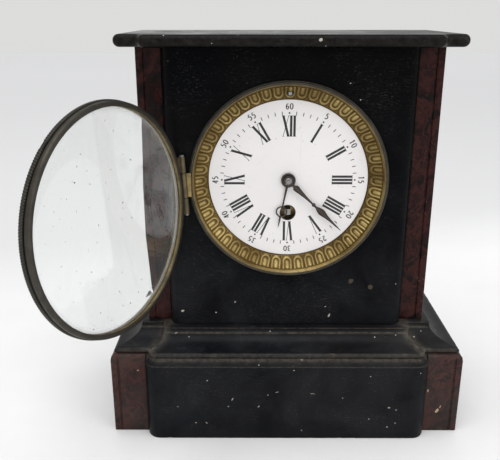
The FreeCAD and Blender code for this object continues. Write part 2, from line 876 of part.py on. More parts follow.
def hand_outline(length, outline_shares):
    """Both sides of a hand that points up, from shares of its length."""
    right = [(half * length, place * length) for place, half in outline_shares]
    return right + [(-x, z) for x, z in reversed(right)]


def set_hand(shape, angle):
    shape.rotate(at(0, 0, dial_height), backwards, angle)
    return shape


def minute_hand():
    y0 = minute_hand_front
    y1 = y0 + hand_thickness
    blade = plate_from(hand_outline(minute_hand_length, minute_outline_shares), y0, y1)
    hand = joined(blade, round_bar(minute_hub_radius, y0, y1))
    bore = round_bar(centre_arbor_radius + fit_clearance, y0 - overrun, y1 + overrun)
    return set_hand(hand.cut(bore), minute_angle)


def hour_hand():
    y0 = hour_hand_front
    y1 = y0 + hand_thickness
    blade = plate_from(hand_outline(hour_hand_length, hour_outline_shares), y0, y1)
    eye = round_bar(hour_ring_radius, y0, y1, 0, hour_ring_place)
    hand = joined(blade, round_bar(hub_radius, y0, y1), eye)
    hand = hand.cut(round_bar(hour_ring_hole, y0 - overrun, y1 + overrun, 0, hour_ring_place))
    bore = round_bar(hour_pipe_radius + fit_clearance, y0 - overrun, y1 + overrun)
    return set_hand(hand.cut(bore), hour_angle)


def hand_collet():
    """Domed washer over the minute hand and the taper pin that holds it."""
    edge = collet_thickness / 2
    washer = turned([
        (centre_arbor_radius + fit_clearance, minute_hand_front),
        (collet_radius, minute_hand_front), (collet_radius, minute_hand_front - edge),
        (collet_radius - edge, collet_front), (centre_arbor_radius + fit_clearance, collet_front)])
    place = collet_front - tip_pin_radius
    pin = Part.makeCylinder(tip_pin_radius, 2 * tip_pin_half_length,
                            at(-tip_pin_half_length, place, dial_height), sideways)
    return washer, set_hand(pin, minute_angle)


def centre_arbor():
    """Centre wheel and pinion on the arbor that carries the minute hand."""
    tip = collet_front - tip_pin_radius - arbor_tip
    bar = round_bar(centre_arbor_radius, tip, back_plate_front - side_clearance)
    pivot = round_bar(train_pivot_radius, back_plate_front - overrun, back_plate_back)
    body = joined(bar, pivot)
    place = collet_front - tip_pin_radius
    hole = Part.makeCylinder(tip_pin_radius + fit_clearance / 2, 2 * tip_pin_half_length,
                             at(-tip_pin_half_length, place, dial_height), sideways)
    body = body.cut(set_hand(hole, minute_angle))
    teeth = wheel(centre_wheel_teeth, centre_module, centre_wheel_front,
                  centre_wheel_front + wheel_thickness, angle_to(0, 0, third_x, third_z))
    leaves = pinion(centre_pinion_leaves, intermediate_module,
                    intermediate_wheel_front - pinion_overlap,
                    intermediate_wheel_front + wheel_thickness + pinion_overlap,
                    angle_to(0, 0, intermediate_x, intermediate_z))
    return joined(body, teeth, leaves)


def cannon_pinion():
    """Pinion and pipe that hold the centre arbor by friction."""
    bore = round_bar(centre_arbor_radius + fit_clearance, minute_hand_front, front_plate_back)
    leaves = pinion(cannon_leaves, cannon_module, cannon_front, cannon_front + cannon_width,
                    angle_to(0, 0, minute_wheel_x, minute_wheel_z))
    pipe = round_bar(cannon_pipe_radius, minute_hand_front + hand_thickness,
                     cannon_front + cannon_width)
    return joined(pipe, leaves).cut(bore)


def minute_wheel():
    """Wheel and pinion of the motion work, on a stud in front of the movement."""
    x, z = minute_wheel_x, minute_wheel_z
    middle = cannon_front + cannon_width / 2
    teeth = wheel(minute_wheel_teeth, cannon_module, middle - hour_wheel_thickness / 2,
                  middle + hour_wheel_thickness / 2, angle_to(x, z, 0, 0), x, z)
    leaves = pinion(minute_pinion_leaves, minute_pinion_module,
                    hour_wheel_front - side_clearance, middle,
                    angle_to(x, z, 0, 0), x, z)
    hole = round_bar(stud_radius + fit_clearance, hour_wheel_front - overrun,
                     front_plate_front, x, z)
    return joined(teeth, leaves).cut(hole)


def hour_wheel():
    """Wheel on the pipe that carries the hour hand."""
    y0 = hour_wheel_front
    teeth = wheel(hour_wheel_teeth, minute_pinion_module, y0, y0 + hour_wheel_thickness,
                  angle_to(0, 0, minute_wheel_x, minute_wheel_z))
    pipe = round_bar(hour_pipe_radius, hour_hand_front, y0 + hour_wheel_thickness)
    bore = round_bar(hour_pipe_hole, hour_hand_front - overrun, front_plate_front)
    return joined(teeth, pipe).cut(bore)


def barrel():
    """Spring drum with the great wheel on its back edge."""
    y0 = front_plate_back + barrel_front_gap
    y1 = y0 + barrel_length
    z = -winding_drop
    points = toothed_points(great_wheel_teeth, great_wheel_module, tooth_addendum_share,
                            tooth_dedendum_share, tooth_tip_share, tooth_root_share,
                            angle_to(0, z, intermediate_x, intermediate_z), 0, z)
    teeth = plate_from(points, great_wheel_front, y1)
    drum = round_bar(barrel_radius, y0, great_wheel_front + great_wheel_thickness / 2, 0, z)
    body = joined(drum, teeth)
    body = body.cut(round_bar(barrel_radius - barrel_wall, y0 - overrun, y1 - barrel_wall, 0, z))
    return body.cut(round_bar(barrel_arbor_radius + fit_clearance, y0 - overrun, y1 + overrun, 0, z))


def barrel_cover():
    y0 = front_plate_back + barrel_front_gap
    z = -winding_drop
    disc = round_bar(barrel_radius - barrel_wall - fit_clearance, y0, y0 + barrel_wall, 0, z)
    return disc.cut(round_bar(barrel_arbor_radius + fit_clearance, y0 - overrun,
                              y0 + barrel_wall + overrun, 0, z))


def spiral_edge(radius, step, turns, centre_z, y):
    """Half circles whose radius grows by one step each half turn."""
    arcs = []
    shift = 0
    for i in range(2 * turns):
        side = 1 if i % 2 == 0 else -1
        r = radius + i * step
        a = at(side * r + shift, y, centre_z)
        middle = at(shift, y, centre_z + side * r)
        b = at(shift - side * r, y, centre_z)
        arcs.append(Part.Arc(a, middle, b))
        shift = shift + side * step
    return arcs


def mainspring():
    """Spiral strip that lies between the arbor and the barrel's wall."""
    y0 = front_plate_back + barrel_front_gap + barrel_wall + side_clearance
    y1 = front_plate_back + barrel_front_gap + barrel_length - barrel_wall - side_clearance
    outer = barrel_radius - barrel_wall - side_clearance - spring_thickness
    step = (outer - spring_inner_radius) / (2 * spring_turns)
    z = dial_height - winding_drop
    inner_line = spiral_edge(spring_inner_radius, step, spring_turns, z, y0)
    outer_line = spiral_edge(spring_inner_radius + spring_thickness, step, spring_turns, z, y0)
    start = Part.LineSegment(inner_line[0].StartPoint, outer_line[0].StartPoint)
    end = Part.LineSegment(inner_line[-1].EndPoint, outer_line[-1].EndPoint)
    edges = [c.toShape() for c in inner_line + outer_line + [start, end]]
    wire = Part.Wire(Part.sortEdges(edges)[0])
    return Part.Face(wire).extrude(at(0, y1 - y0, 0))


def winding_arbor():
    """Barrel arbor with the square that the key fits, and a plain tail for the ratchet."""
    z = -winding_drop
    y0 = front_plate_back + side_clearance
    y1 = back_plate_front - side_clearance
    body = round_bar(barrel_arbor_radius, y0, y1, 0, z)
    tail_end = back_plate_back + ratchet_gap + ratchet_thickness + ratchet_gap
    pivots = round_bar(winding_pivot_radius, front_plate_front - ratchet_gap, tail_end, 0, z)
    half = winding_square / 2
    tip = dial_face + winding_tip_depth
    square = block(-half, half, tip, front_plate_front,
                   dial_height + z - half, dial_height + z + half)
    return joined(body, pivots, square)


def ratchet_wheel():
    """Saw-toothed wheel behind the back plate."""
    y0 = back_plate_back + ratchet_gap
    y1 = y0 + ratchet_thickness
    z = -winding_drop
    points = []
    pitch = 360.0 / ratchet_teeth
    for i in range(ratchet_teeth):
        points.append(polar(ratchet_wheel_radius, click_tip_angle + i * pitch, 0, z))
        points.append(polar(ratchet_wheel_radius - ratchet_tooth_depth,
                            click_tip_angle + i * pitch + fit_clearance, 0, z))
    body = plate_from(points, y0, y1)
    return body.cut(round_bar(winding_pivot_radius + fit_clearance, y0 - overrun, y1 + overrun, 0, z))


def click_points():
    """The click's tip beside the ratchet, its pivot, and the unit directions along and across it."""
    tip = polar(ratchet_wheel_radius + click_tip_clear, click_tip_angle, 0, -winding_drop)
    along = heading(click_tip_angle + 90)
    outward = heading(click_tip_angle)
    pivot = (tip[0] + along[0] * click_length, tip[1] + along[1] * click_length)
    return tip, pivot, along, outward


def click():
    """Lever that drops behind the ratchet's teeth."""
    y0 = back_plate_back + ratchet_gap
    y1 = y0 + ratchet_thickness
    tip, pivot, along, outward = click_points()
    w = click_radius * click_taper_share
    points = [(pivot[0] - outward[0] * w, pivot[1] - outward[1] * w),
              tip,
              (tip[0] + outward[0] * click_tip_width, tip[1] + outward[1] * click_tip_width),
              (pivot[0] + outward[0] * w, pivot[1] + outward[1] * w)]
    body = joined(plate_from(points, y0, y1), round_bar(click_radius, y0, y1, *pivot))
    return body.cut(round_bar(click_screw_radius + fit_clearance, y0 - overrun, y1 + overrun, *pivot))


def click_spring():
    """Thin spring on the back plate that leans on the outside of the click."""
    y0 = back_plate_back
    y1 = back_plate_back + ratchet_gap + ratchet_thickness
    tip, pivot, along, outward = click_points()
    near = click_radius + click_spring_gap

    def place(run, out):
        return (pivot[0] + along[0] * run + outward[0] * out,
                pivot[1] + along[1] * run + outward[1] * out)

    far = click_spring_length - click_spring_reach
    points = [place(-click_spring_reach, near), place(far, near),
              place(far, near + click_spring_thickness),
              place(-click_spring_reach, near + click_spring_thickness)]
    blade = plate_from(points, y0 + ratchet_gap, y1)
    foot = round_bar(click_spring_foot, y0, y1, *place(far, near + click_spring_foot / 2))
    return joined(blade, foot)


def intermediate_wheel():
    x, z = intermediate_x, intermediate_z
    y0 = intermediate_wheel_front
    teeth = wheel(intermediate_wheel_teeth, intermediate_module, y0, y0 + wheel_thickness,
                  angle_to(x, z, 0, 0), x, z)
    leaves = pinion(intermediate_pinion_leaves, great_wheel_module,
                    great_wheel_front - pinion_overlap,
                    great_wheel_front + great_wheel_thickness + pinion_overlap,
                    angle_to(x, z, 0, -winding_drop), x, z)
    return joined(arbor(train_arbor_radius, train_pivot_radius, x, z), teeth, leaves)


def third_wheel():
    x, z = third_x, third_z
    y0 = third_wheel_front
    teeth = wheel(third_wheel_teeth, third_module, y0, y0 + wheel_thickness,
                  angle_to(x, z, 0, escape_height), x, z)
    leaves = pinion(third_pinion_leaves, centre_module, centre_wheel_front - pinion_overlap,
                    centre_wheel_front + wheel_thickness + pinion_overlap,
                    angle_to(x, z, 0, 0), x, z)
    return joined(arbor(fine_arbor_radius, fine_pivot_radius, x, z), teeth, leaves)


def escape_wheel():
    """Wheel of fine pointed teeth, with its pinion."""
    z = escape_height
    y0 = escape_wheel_front
    y1 = y0 + wheel_thickness
    pitch = 360.0 / escape_teeth
    points = []
    for i in range(escape_teeth):
        points.append(polar(escape_radius - escape_tooth_depth, i * pitch, 0, z))
        points.append(polar(escape_radius, (i + wheel_rim_share) * pitch, 0, z))
    root = escape_radius - escape_tooth_depth
    teeth = crossed_out(plate_from(points, y0, y1), root * wheel_rim_share, root * wheel_hub_share,
                        root * wheel_spoke_share, y0, y1, 0, z)
    leaves = pinion(escape_pinion_leaves, third_module, third_wheel_front - pinion_overlap,
                    third_wheel_front + wheel_thickness + pinion_overlap,
                    angle_to(0, z, third_x, third_z), 0, z)
    return joined(arbor(fine_arbor_radius, fine_pivot_radius, 0, z), teeth, leaves)


def anchor():
    """Pallets that straddle the escape wheel, on the arbor that also carries the crutch."""
    middle = escape_wheel_front + wheel_thickness / 2
    y0 = middle - pallet_thickness / 2
    y1 = middle + pallet_thickness / 2
    near = escape_radius + pallet_clear
    body = round_bar(pallet_hub_radius, y0, y1, 0, pallet_height)
    for side in (-1, 1):
        tip_x, tip_z = polar(near, 90 - pallet_reach_angle, 0, escape_height)
        top = pallet_height - pallet_arm_width / 2
        points = [(0, top), (tip_x, top - pallet_arm_width / 2), (tip_x, tip_z),
                  (tip_x + pallet_tip_width, tip_z),
                  (tip_x + pallet_tip_width, top + pallet_arm_width / 2), (0, top + pallet_arm_width)]
        body = joined(body, plate_from([(side * x, z) for x, z in points], y0, y1))
    bar = arbor(fine_arbor_radius + fine_pivot_radius, fine_pivot_radius, 0, pallet_height,
                front_plate_back, cock_front)
    return joined(body, bar)


def crutch():
    """Wire that hangs behind the back plate and holds the pendulum rod in its fork."""
    y0 = back_plate_back + crutch_gap
    y1 = y0 + crutch_hub_thickness
    z1 = pallet_z
    hub = round_bar(crutch_hub_radius, y0, y1, 0, pallet_height)
    hub = hub.cut(round_bar(fine_arbor_radius + fine_pivot_radius + fit_clearance, y0 - overrun,
                            y1 + overrun, 0, pallet_height))
    z0 = z1 - crutch_length
    top = z1 - crutch_hub_radius + crutch_radius / 2
    wire = post(crutch_radius, 0, (y0 + y1) / 2, z0, top)
    inner = rod_radius + crutch_fork_gap
    outer = inner + crutch_fork_width
    back = pendulum_y + rod_radius + crutch_fork_width
    near = pendulum_y - rod_radius - crutch_fork_gap - crutch_fork_width
    body = block(-outer, outer, y0, back, z0 - crutch_fork_height, z0)
    slot = block(-inner, inner, near + crutch_fork_width, back + overrun,
                 z0 - crutch_fork_height - overrun, z0 + overrun)
    return joined(hub, wire, body.cut(slot))


def back_cock():
    """Bridge behind the back plate, with the chops that the pendulum hangs from."""
    z = pallet_z
    bridge = block(-cock_half_width, cock_half_width, cock_front, cock_back,
                   z - cock_half_height, z + cock_half_height)
    feet = [round_bar(cock_foot_radius, back_plate_back, cock_front, side *
                      (cock_half_width - cock_foot_radius), pallet_height) for side in (-1, 1)]
    stem = block(-chop_half_width, chop_half_width, cock_front, cock_back,
                 z, z + chop_rise + chop_height)
    chops = block(-chop_half_width, chop_half_width, cock_back - fit_clearance,
                  pendulum_y + suspension_width, z + chop_rise, z + chop_rise + chop_height)
    whole = joined(bridge, stem, chops, *feet)
    pivot = round_bar(fine_pivot_radius + fit_clearance, cock_front - overrun, cock_back + overrun,
                      0, pallet_height)
    return whole.cut(pivot)


def suspension_spring():
    """Thin steel strip, wide along the arbor, that bends as the pendulum swings."""
    top = pallet_z + chop_rise - side_clearance
    half = suspension_width / 2
    return block(-suspension_thickness / 2, suspension_thickness / 2, pendulum_y - half,
                 pendulum_y + half, top - suspension_length, top)


def pendulum_rod():
    """Hook block under the strip, and the rod with its plain lower end."""
    top = pallet_z + chop_rise - side_clearance - suspension_length
    half = suspension_width / 2 + hook_half_width / 2
    hook = block(-hook_half_width, hook_half_width, pendulum_y - half, pendulum_y + half,
                 top - hook_height, top)
    bob_z = pallet_z - pendulum_length
    low = bob_z - bob_radius - rod_tail
    rod = post(rod_radius, 0, pendulum_y, low, top - hook_height / 2)
    return joined(hook, rod)


def pendulum_bob():
    """Lens-shaped bob that slides on the rod."""
    z = pallet_z - pendulum_length
    half = bob_thickness / 2
    edge = half / 4
    front = at(0, pendulum_y - half, z)
    rear = at(0, pendulum_y + half, z)
    rim_front = at(bob_radius, pendulum_y - edge, z)
    rim_rear = at(bob_radius, pendulum_y + edge, z)
    shoulder = math.sqrt(0.5) * bob_radius
    bulge = (edge + half) / 2 + (half - edge) * (1 - cove_mid_rise_share) / 4
    arc_front = Part.Arc(front, at(shoulder, pendulum_y - bulge, z), rim_front).toShape()
    arc_rear = Part.Arc(rim_rear, at(shoulder, pendulum_y + bulge, z), rear).toShape()
    side = Part.LineSegment(rim_front, rim_rear).toShape()
    axis = Part.LineSegment(rear, front).toShape()
    face = Part.Face(Part.Wire(Part.sortEdges([arc_front, side, arc_rear, axis])[0]))
    lens = face.revolve(at(0, 0, z), backwards, 360)
    return lens.cut(post(rod_radius + fit_clearance, 0, pendulum_y, z - bob_radius - overrun,
                         z + bob_radius + overrun))


def rating_nut():
    top = pallet_z - pendulum_length - bob_radius - side_clearance
    nut = post(nut_radius, 0, pendulum_y, top - nut_thickness, top)
    return nut.cut(post(rod_radius + fit_clearance, 0, pendulum_y, top - nut_thickness - overrun,
                        top + overrun))


def frame_plate(y0, holes):
    """Round plate with a hole for each pivot, from (radius, x, z)."""
    y1 = y0 + plate_thickness
    body = round_bar(plate_radius, y0, y1)
    for radius, x, z in holes:
        body = body.cut(round_bar(radius, y0 - overrun, y1 + overrun, x, z))
    return body


def shared_holes():
    """Pivot holes that both plates have."""
    train = train_pivot_radius + fit_clearance
    fine = fine_pivot_radius + fit_clearance
    return [(train, intermediate_x, intermediate_z), (fine, third_x, third_z),
            (fine, 0, escape_height), (winding_pivot_radius + fit_clearance, 0, -winding_drop)]


def front_plate():
    """Front plate with the stud of the minute wheel."""
    holes = shared_holes()
    holes.append((centre_arbor_radius + fit_clearance, 0, 0))
    holes.append((fine_pivot_radius + fit_clearance, 0, pallet_height))
    for angle in foot_angles:
        x, z = polar(foot_circle_radius, angle)
        holes.append((foot_radius / 2 + fit_clearance, x, z))
    for angle in pillar_angles:
        x, z = polar(pillar_circle_radius, angle)
        holes.append((pillar_tenon_radius + fit_clearance, x, z))
    body = frame_plate(front_plate_front, holes)
    stud = round_bar(stud_radius, hour_wheel_front - side_clearance, front_plate_back,
                     minute_wheel_x, minute_wheel_z)
    return joined(body, stud)


def back_plate():
    """Back plate, whose larger hole lets the pallet arbor through."""
    holes = shared_holes()
    holes.append((train_pivot_radius + fit_clearance, 0, 0))
    holes.append((pallet_hub_radius, 0, pallet_height))
    for angle in pillar_angles:
        x, z = polar(pillar_circle_radius, angle)
        holes.append((pillar_tenon_radius + fit_clearance, x, z))
    body = frame_plate(back_plate_front, holes)
    tip, pivot, along, outward = click_points()
    click_back = back_plate_back + ratchet_gap + ratchet_thickness
    screw = round_bar(click_screw_radius, back_plate_front, click_back + ratchet_gap, *pivot)
    cap = round_bar(click_radius, click_back + fit_clearance, click_back + ratchet_gap, *pivot)
    return joined(body, screw, cap)


def pillars():
    """Four turned pillars, riveted in the front plate and pinned behind the back plate."""
    result = []
    for angle in pillar_angles:
        x, z = polar(pillar_circle_radius, angle)
        body = round_bar(pillar_radius, front_plate_back, back_plate_front, x, z)
        tenon = round_bar(pillar_tenon_radius, front_plate_front, back_plate_back + pillar_tail, x, z)
        hole = Part.makeCylinder(pillar_pin_radius + fit_clearance, 2 * pillar_pin_half_length,
                                 at(x - pillar_pin_half_length, back_plate_back + pillar_tail / 2,
                                    dial_height + z), sideways)
        result.append(joined(body, tenon).cut(hole))
    return result


def pillar_pins():
    result = []
    for angle in pillar_angles:
        x, z = polar(pillar_circle_radius, angle)
        result.append(Part.makeCylinder(pillar_pin_radius, 2 * pillar_pin_half_length,
                                        at(x - pillar_pin_half_length,
                                           back_plate_back + pillar_tail / 2,
                                           dial_height + z), sideways))
    return result


def regulator_arbor():
    """Long arbor from the square in the sight ring to the pinion beside the chops."""
    end = pendulum_y
    face = (ring_inner_depth * (ring_outer_radius - regulator_circle_radius)
            - ring_front_proud * (regulator_circle_radius - ring_inner_radius))
    front = face / (ring_outer_radius - ring_inner_radius) - regulator_proud
    bar = round_bar(regulator_radius, front + regulator_proud, end, 0, regulator_z)
    half = regulator_square / 2
    tip = block(-half, half, front, front + 2 * regulator_proud, dial_height + regulator_z - half,
                dial_height + regulator_z + half)
    leaves = pinion(centre_pinion_leaves, centre_module, end - cannon_width, end,
                    90, 0, regulator_z)
    return joined(bar, tip, leaves)


def back_ring():
    """Brass ring in the back opening, with two lugs for the straps and the fixed knuckle."""
    flange = case_depth + back_flange_thickness
    tube_front = case_depth - back_tube_length
    ring = turned([
        (back_tube_inner_radius, tube_front), (back_tube_outer_radius, tube_front),
        (back_tube_outer_radius, case_depth), (back_flange_radius, case_depth),
        (back_flange_radius, flange), (back_tube_inner_radius, flange)])
    reach = back_tube_inner_radius + fit_clearance
    for side in (-1, 1):
        near = back_tube_inner_radius - strap_foot
        lug = block(min(side * near, side * reach), max(side * near, side * reach),
                    tube_front, tube_front + lug_thickness,
                    dial_height - strap_width / 2, dial_height + strap_width / 2)
        ring = ring.fuse(lug)
        x = side * (back_tube_inner_radius - strap_foot / 2)
        ring = ring.cut(round_bar(screw_radius + fit_clearance, tube_front - overrun,
                                  tube_front + lug_thickness + overrun, x, 0))
    half = knuckle_half_length
    eye = knuckle(back_knuckle_radius, back_hinge_x, back_hinge_y, dial_height, -half, half,
                  back_flange_radius - back_knuckle_radius, back_hinge_y - leaf_thickness)
    keep = block(0, back_hinge_x, flange, flange + overrun, dial_height - half, dial_height + half)
    keep = keep.cut(post(back_knuckle_radius, back_hinge_x, back_hinge_y, dial_height - half,
                         dial_height + half))
    return joined(ring, eye.cut(keep)).cut(pin_hole(back_hinge_x, back_hinge_y, dial_height, half))


def back_door_rim():
    """Flat ring that carries the back glass, with its knuckles and a small turned knob."""
    y0 = case_depth + back_flange_thickness + door_gap
    y1 = y0 + back_door_thickness
    g0 = y0 + (back_door_thickness - back_glass_thickness) / 2
    g1 = g0 + back_glass_thickness
    seat = back_glass_radius + fit_clearance
    ring = turned([
        (back_door_inner_radius, y0), (back_flange_radius, y0), (back_flange_radius, y1),
        (back_door_inner_radius, y1), (back_door_inner_radius, g1 + fit_clearance),
        (seat, g1 + fit_clearance), (seat, g0 - fit_clearance),
        (back_door_inner_radius, g0 - fit_clearance)])
    half = knuckle_half_length + knuckle_gap
    far = half + knuckle_side_length
    ring = ring.cut(post(back_knuckle_radius + knuckle_room, back_hinge_x, back_hinge_y,
                         dial_height - half, dial_height + half))
    eyes = [knuckle(back_knuckle_radius, back_hinge_x, back_hinge_y, dial_height, a, b,
                    back_door_inner_radius + back_knob_radius, back_hinge_y + leaf_thickness)
            for a, b in ((half, far), (-far, -half))]
    flange = case_depth + back_flange_thickness
    clear = block(0, back_hinge_x, flange - overrun, y0, dial_height - far, dial_height + far)
    clear = clear.cut(post(back_knuckle_radius, back_hinge_x, back_hinge_y, dial_height - far,
                           dial_height + far))
    knob_x = -(back_door_inner_radius + back_flange_radius) / 2
    neck = round_bar(back_knob_neck, y1 - fit_clearance, y1 + back_knob_length, knob_x, 0)
    head = round_bar(back_knob_radius, y1 + back_knob_length / 2, y1 + back_knob_length, knob_x, 0)
    whole = joined(ring, eyes[0].cut(clear), eyes[1].cut(clear), neck, head)
    return whole.cut(pin_hole(back_hinge_x, back_hinge_y, dial_height, far))


def back_door_glass():
    y0 = (case_depth + back_flange_thickness + door_gap
          + (back_door_thickness - back_glass_thickness) / 2)
    return round_bar(back_glass_radius, y0, y0 + back_glass_thickness)


def movement_straps():
    """Two straps with turned-in ends, from the dial plate to the back ring's lugs."""
    result = []
    front = dial_plate_back + fit_clearance
    rear = case_depth - back_tube_length - strap_end_gap
    outer = tube_inner_radius - side_clearance
    z0 = dial_height - strap_width / 2
    z1 = dial_height + strap_width / 2
    for side in (-1, 1):
        xs = sorted((side * (outer - strap_thickness), side * outer))
        near = side * (back_tube_inner_radius - strap_foot)
        blade = block(xs[0], xs[1], front, rear, z0, z1)
        foot_xs = sorted((near, side * outer))
        foot = block(foot_xs[0], foot_xs[1], front, front + strap_thickness, z0, z1)
        ear = block(foot_xs[0], foot_xs[1], rear - strap_thickness, rear, z0, z1)
        x = side * (back_tube_inner_radius - strap_foot / 2)
        hole = round_bar(screw_radius + fit_clearance, rear - overrun, rear + overrun, x, 0)
        result.append(joined(blade, foot, ear).cut(hole))
    return result


def slotted_screw(x, z, y0, head_y):
    """A screw that runs back from y0 to its slotted head."""
    shank = round_bar(screw_radius, y0, head_y, x, z)
    head = round_bar(screw_head_radius, head_y, head_y + screw_head_thickness, x, z)
    slot = block(x - screw_head_radius, x + screw_head_radius,
                 head_y + screw_head_thickness - slot_depth, head_y + screw_head_thickness + overrun,
                 dial_height + z - slot_width / 2, dial_height + z + slot_width / 2)
    return joined(shank, head).cut(slot)


def frame_screws():
    """Two screws through the back ring's lugs into the ends of the straps."""
    tube_front = case_depth - back_tube_length
    rear = tube_front - strap_end_gap - strap_thickness
    x = back_tube_inner_radius - strap_foot / 2
    return [slotted_screw(side * x, 0, rear, tube_front + lug_thickness) for side in (-1, 1)]


def main():
    os.makedirs("parts", exist_ok=True)
    save("top_slab", top_slab())
    save("front_panel", front_panel())
    save("marble_strip_left", marble_strip(-1))
    save("marble_strip_right", marble_strip(1))
    save("side_wall_left", side_wall(-1))
    save("side_wall_right", side_wall(1))
    save("back_wall", back_wall())
    front, left, right, rear = waist_mouldings()
    save("waist_moulding_front", front)
    save("waist_moulding_left", left)
    save("waist_moulding_right", right)
    save("waist_rail_back", rear)
    save("base_front", base_front())
    save("base_marble_left", base_marble(-1))
    save("base_marble_right", base_marble(1))
    save("base_side_left", base_side(-1))
    save("base_side_right", base_side(1))
    save("base_back", base_back())
    save("bottom_plate", bottom_plate())
    save("bezel_ring", bezel_ring())
    save("sight_ring", sight_ring())
    save("dial", dial())
    save("dial_plate", dial_plate())
    save("door_rim", door_rim())
    save("door_glass", door_glass())
    save("door_hinge_pin", leaned(headed_pin(hinge_x, hinge_y, door_height,
                                             knuckle_half_length + knuckle_gap + knuckle_side_length)))
    save("minute_hand", minute_hand())
    save("hour_hand", hour_hand())
    save("hand_collet", *hand_collet())
    save("centre_wheel", centre_arbor())
    save("cannon_pinion", cannon_pinion())
    save("minute_wheel", minute_wheel())
    save("hour_wheel", hour_wheel())
    save("barrel", barrel())
    save("barrel_cover", barrel_cover())
    save("mainspring", mainspring())
    save("winding_arbor", winding_arbor())
    save("ratchet_wheel", ratchet_wheel())
    save("click", click())
    save("click_spring", click_spring())
    save("intermediate_wheel", intermediate_wheel())
    save("third_wheel", third_wheel())
    save("escape_wheel", escape_wheel())
    save("anchor", anchor())
    save("crutch", crutch())
    save("back_cock", back_cock())
    save("suspension_spring", suspension_spring())
    save("pendulum_rod", pendulum_rod())
    save("pendulum_bob", pendulum_bob())
    save("rating_nut", rating_nut())
    save("front_plate", front_plate())
    save("back_plate", back_plate())
    save("pillars", *pillars())
    save("pillar_pins", *pillar_pins())
    save("regulator_arbor", regulator_arbor())
    save("back_ring", back_ring())
    save("back_door_rim", back_door_rim())
    save("back_door_glass", back_door_glass())
    save("back_hinge_pin", headed_pin(back_hinge_x, back_hinge_y, dial_height,
                                      knuckle_half_length + knuckle_gap + knuckle_side_length))
    save("movement_straps", *movement_straps())
    save("frame_screws", *frame_screws())


main()
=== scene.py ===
# %% [markdown]
# # A slate and marble mantel clock
# The clock has a black slate case with dark red marble strips, a white enamel dial in a stamped gilt ring
# and a round glass door that stands open. The measured model gives every place; this lesson dresses it. The
# first cell loads that model and takes the places that the later cells need.

# %% Load the measured clock
import bpy
import bmesh
import json
import math
import numpy as np
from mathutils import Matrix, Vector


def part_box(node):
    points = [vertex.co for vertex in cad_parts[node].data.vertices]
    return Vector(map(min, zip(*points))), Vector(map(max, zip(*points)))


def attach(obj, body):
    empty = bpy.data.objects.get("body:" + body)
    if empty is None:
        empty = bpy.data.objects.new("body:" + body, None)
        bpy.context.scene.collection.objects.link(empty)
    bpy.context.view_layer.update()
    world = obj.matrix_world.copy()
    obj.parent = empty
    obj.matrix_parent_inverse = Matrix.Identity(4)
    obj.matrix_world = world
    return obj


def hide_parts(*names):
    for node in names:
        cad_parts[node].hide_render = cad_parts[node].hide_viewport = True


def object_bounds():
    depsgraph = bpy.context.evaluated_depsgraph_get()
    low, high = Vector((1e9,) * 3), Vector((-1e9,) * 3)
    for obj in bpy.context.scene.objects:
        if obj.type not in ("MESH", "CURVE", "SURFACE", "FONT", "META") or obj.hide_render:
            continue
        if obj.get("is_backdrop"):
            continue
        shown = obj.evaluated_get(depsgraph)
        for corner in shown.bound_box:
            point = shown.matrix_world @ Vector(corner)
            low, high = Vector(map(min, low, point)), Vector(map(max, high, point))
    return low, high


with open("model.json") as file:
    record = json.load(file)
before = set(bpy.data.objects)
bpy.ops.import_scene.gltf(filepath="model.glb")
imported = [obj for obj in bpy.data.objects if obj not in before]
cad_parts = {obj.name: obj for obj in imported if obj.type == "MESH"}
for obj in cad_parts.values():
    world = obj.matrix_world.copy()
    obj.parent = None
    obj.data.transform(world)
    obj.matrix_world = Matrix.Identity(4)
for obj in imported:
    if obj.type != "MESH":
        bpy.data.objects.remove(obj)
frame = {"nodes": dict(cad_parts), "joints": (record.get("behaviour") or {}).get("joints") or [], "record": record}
cad_low, cad_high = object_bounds()
MM = 0.001


def box_mm(node):
    """Low and high corners of a measured piece, in millimetres."""
    return [np.array(c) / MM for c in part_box(node)]


panel_low, panel_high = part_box("front_panel")
dial_low, dial_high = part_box("dial")
SLATE_FACE = panel_low.y / MM
DIAL_FACE = dial_low.y / MM
DIAL_HEIGHT = (dial_low.z + dial_high.z) / 2 / MM
print("nodes", len(frame["nodes"]), "dial centre at height", round(DIAL_HEIGHT, 2), "mm")

# %% [markdown]
# ## Surfaces from grids
# Every new piece is a grid of points worked out in one go as arrays. A closed piece is one or more such
# grids whose edges meet; the meeting points are merged, and the faces are turned outwards. All lengths in
# the shape functions are millimetres, and they become metres only when the mesh is made.


# %% Make a piece from grids
def closed_grid(points, ring_rows=False, ring_columns=True):
    """Quads over points[row, column]: each joins a point to the next ones along both parameters."""
    rows, columns = points.shape[:2]
    r = np.arange(rows if ring_rows else rows - 1)[:, None]
    c = np.arange(columns if ring_columns else columns - 1)[None, :]
    r2, c2 = (r + 1) % rows, (c + 1) % columns
    quads = [r * columns + c, r * columns + c2, r2 * columns + c2, r2 * columns + c]
    return points.reshape(-1, 3), np.stack(quads, -1).reshape(-1, 4)


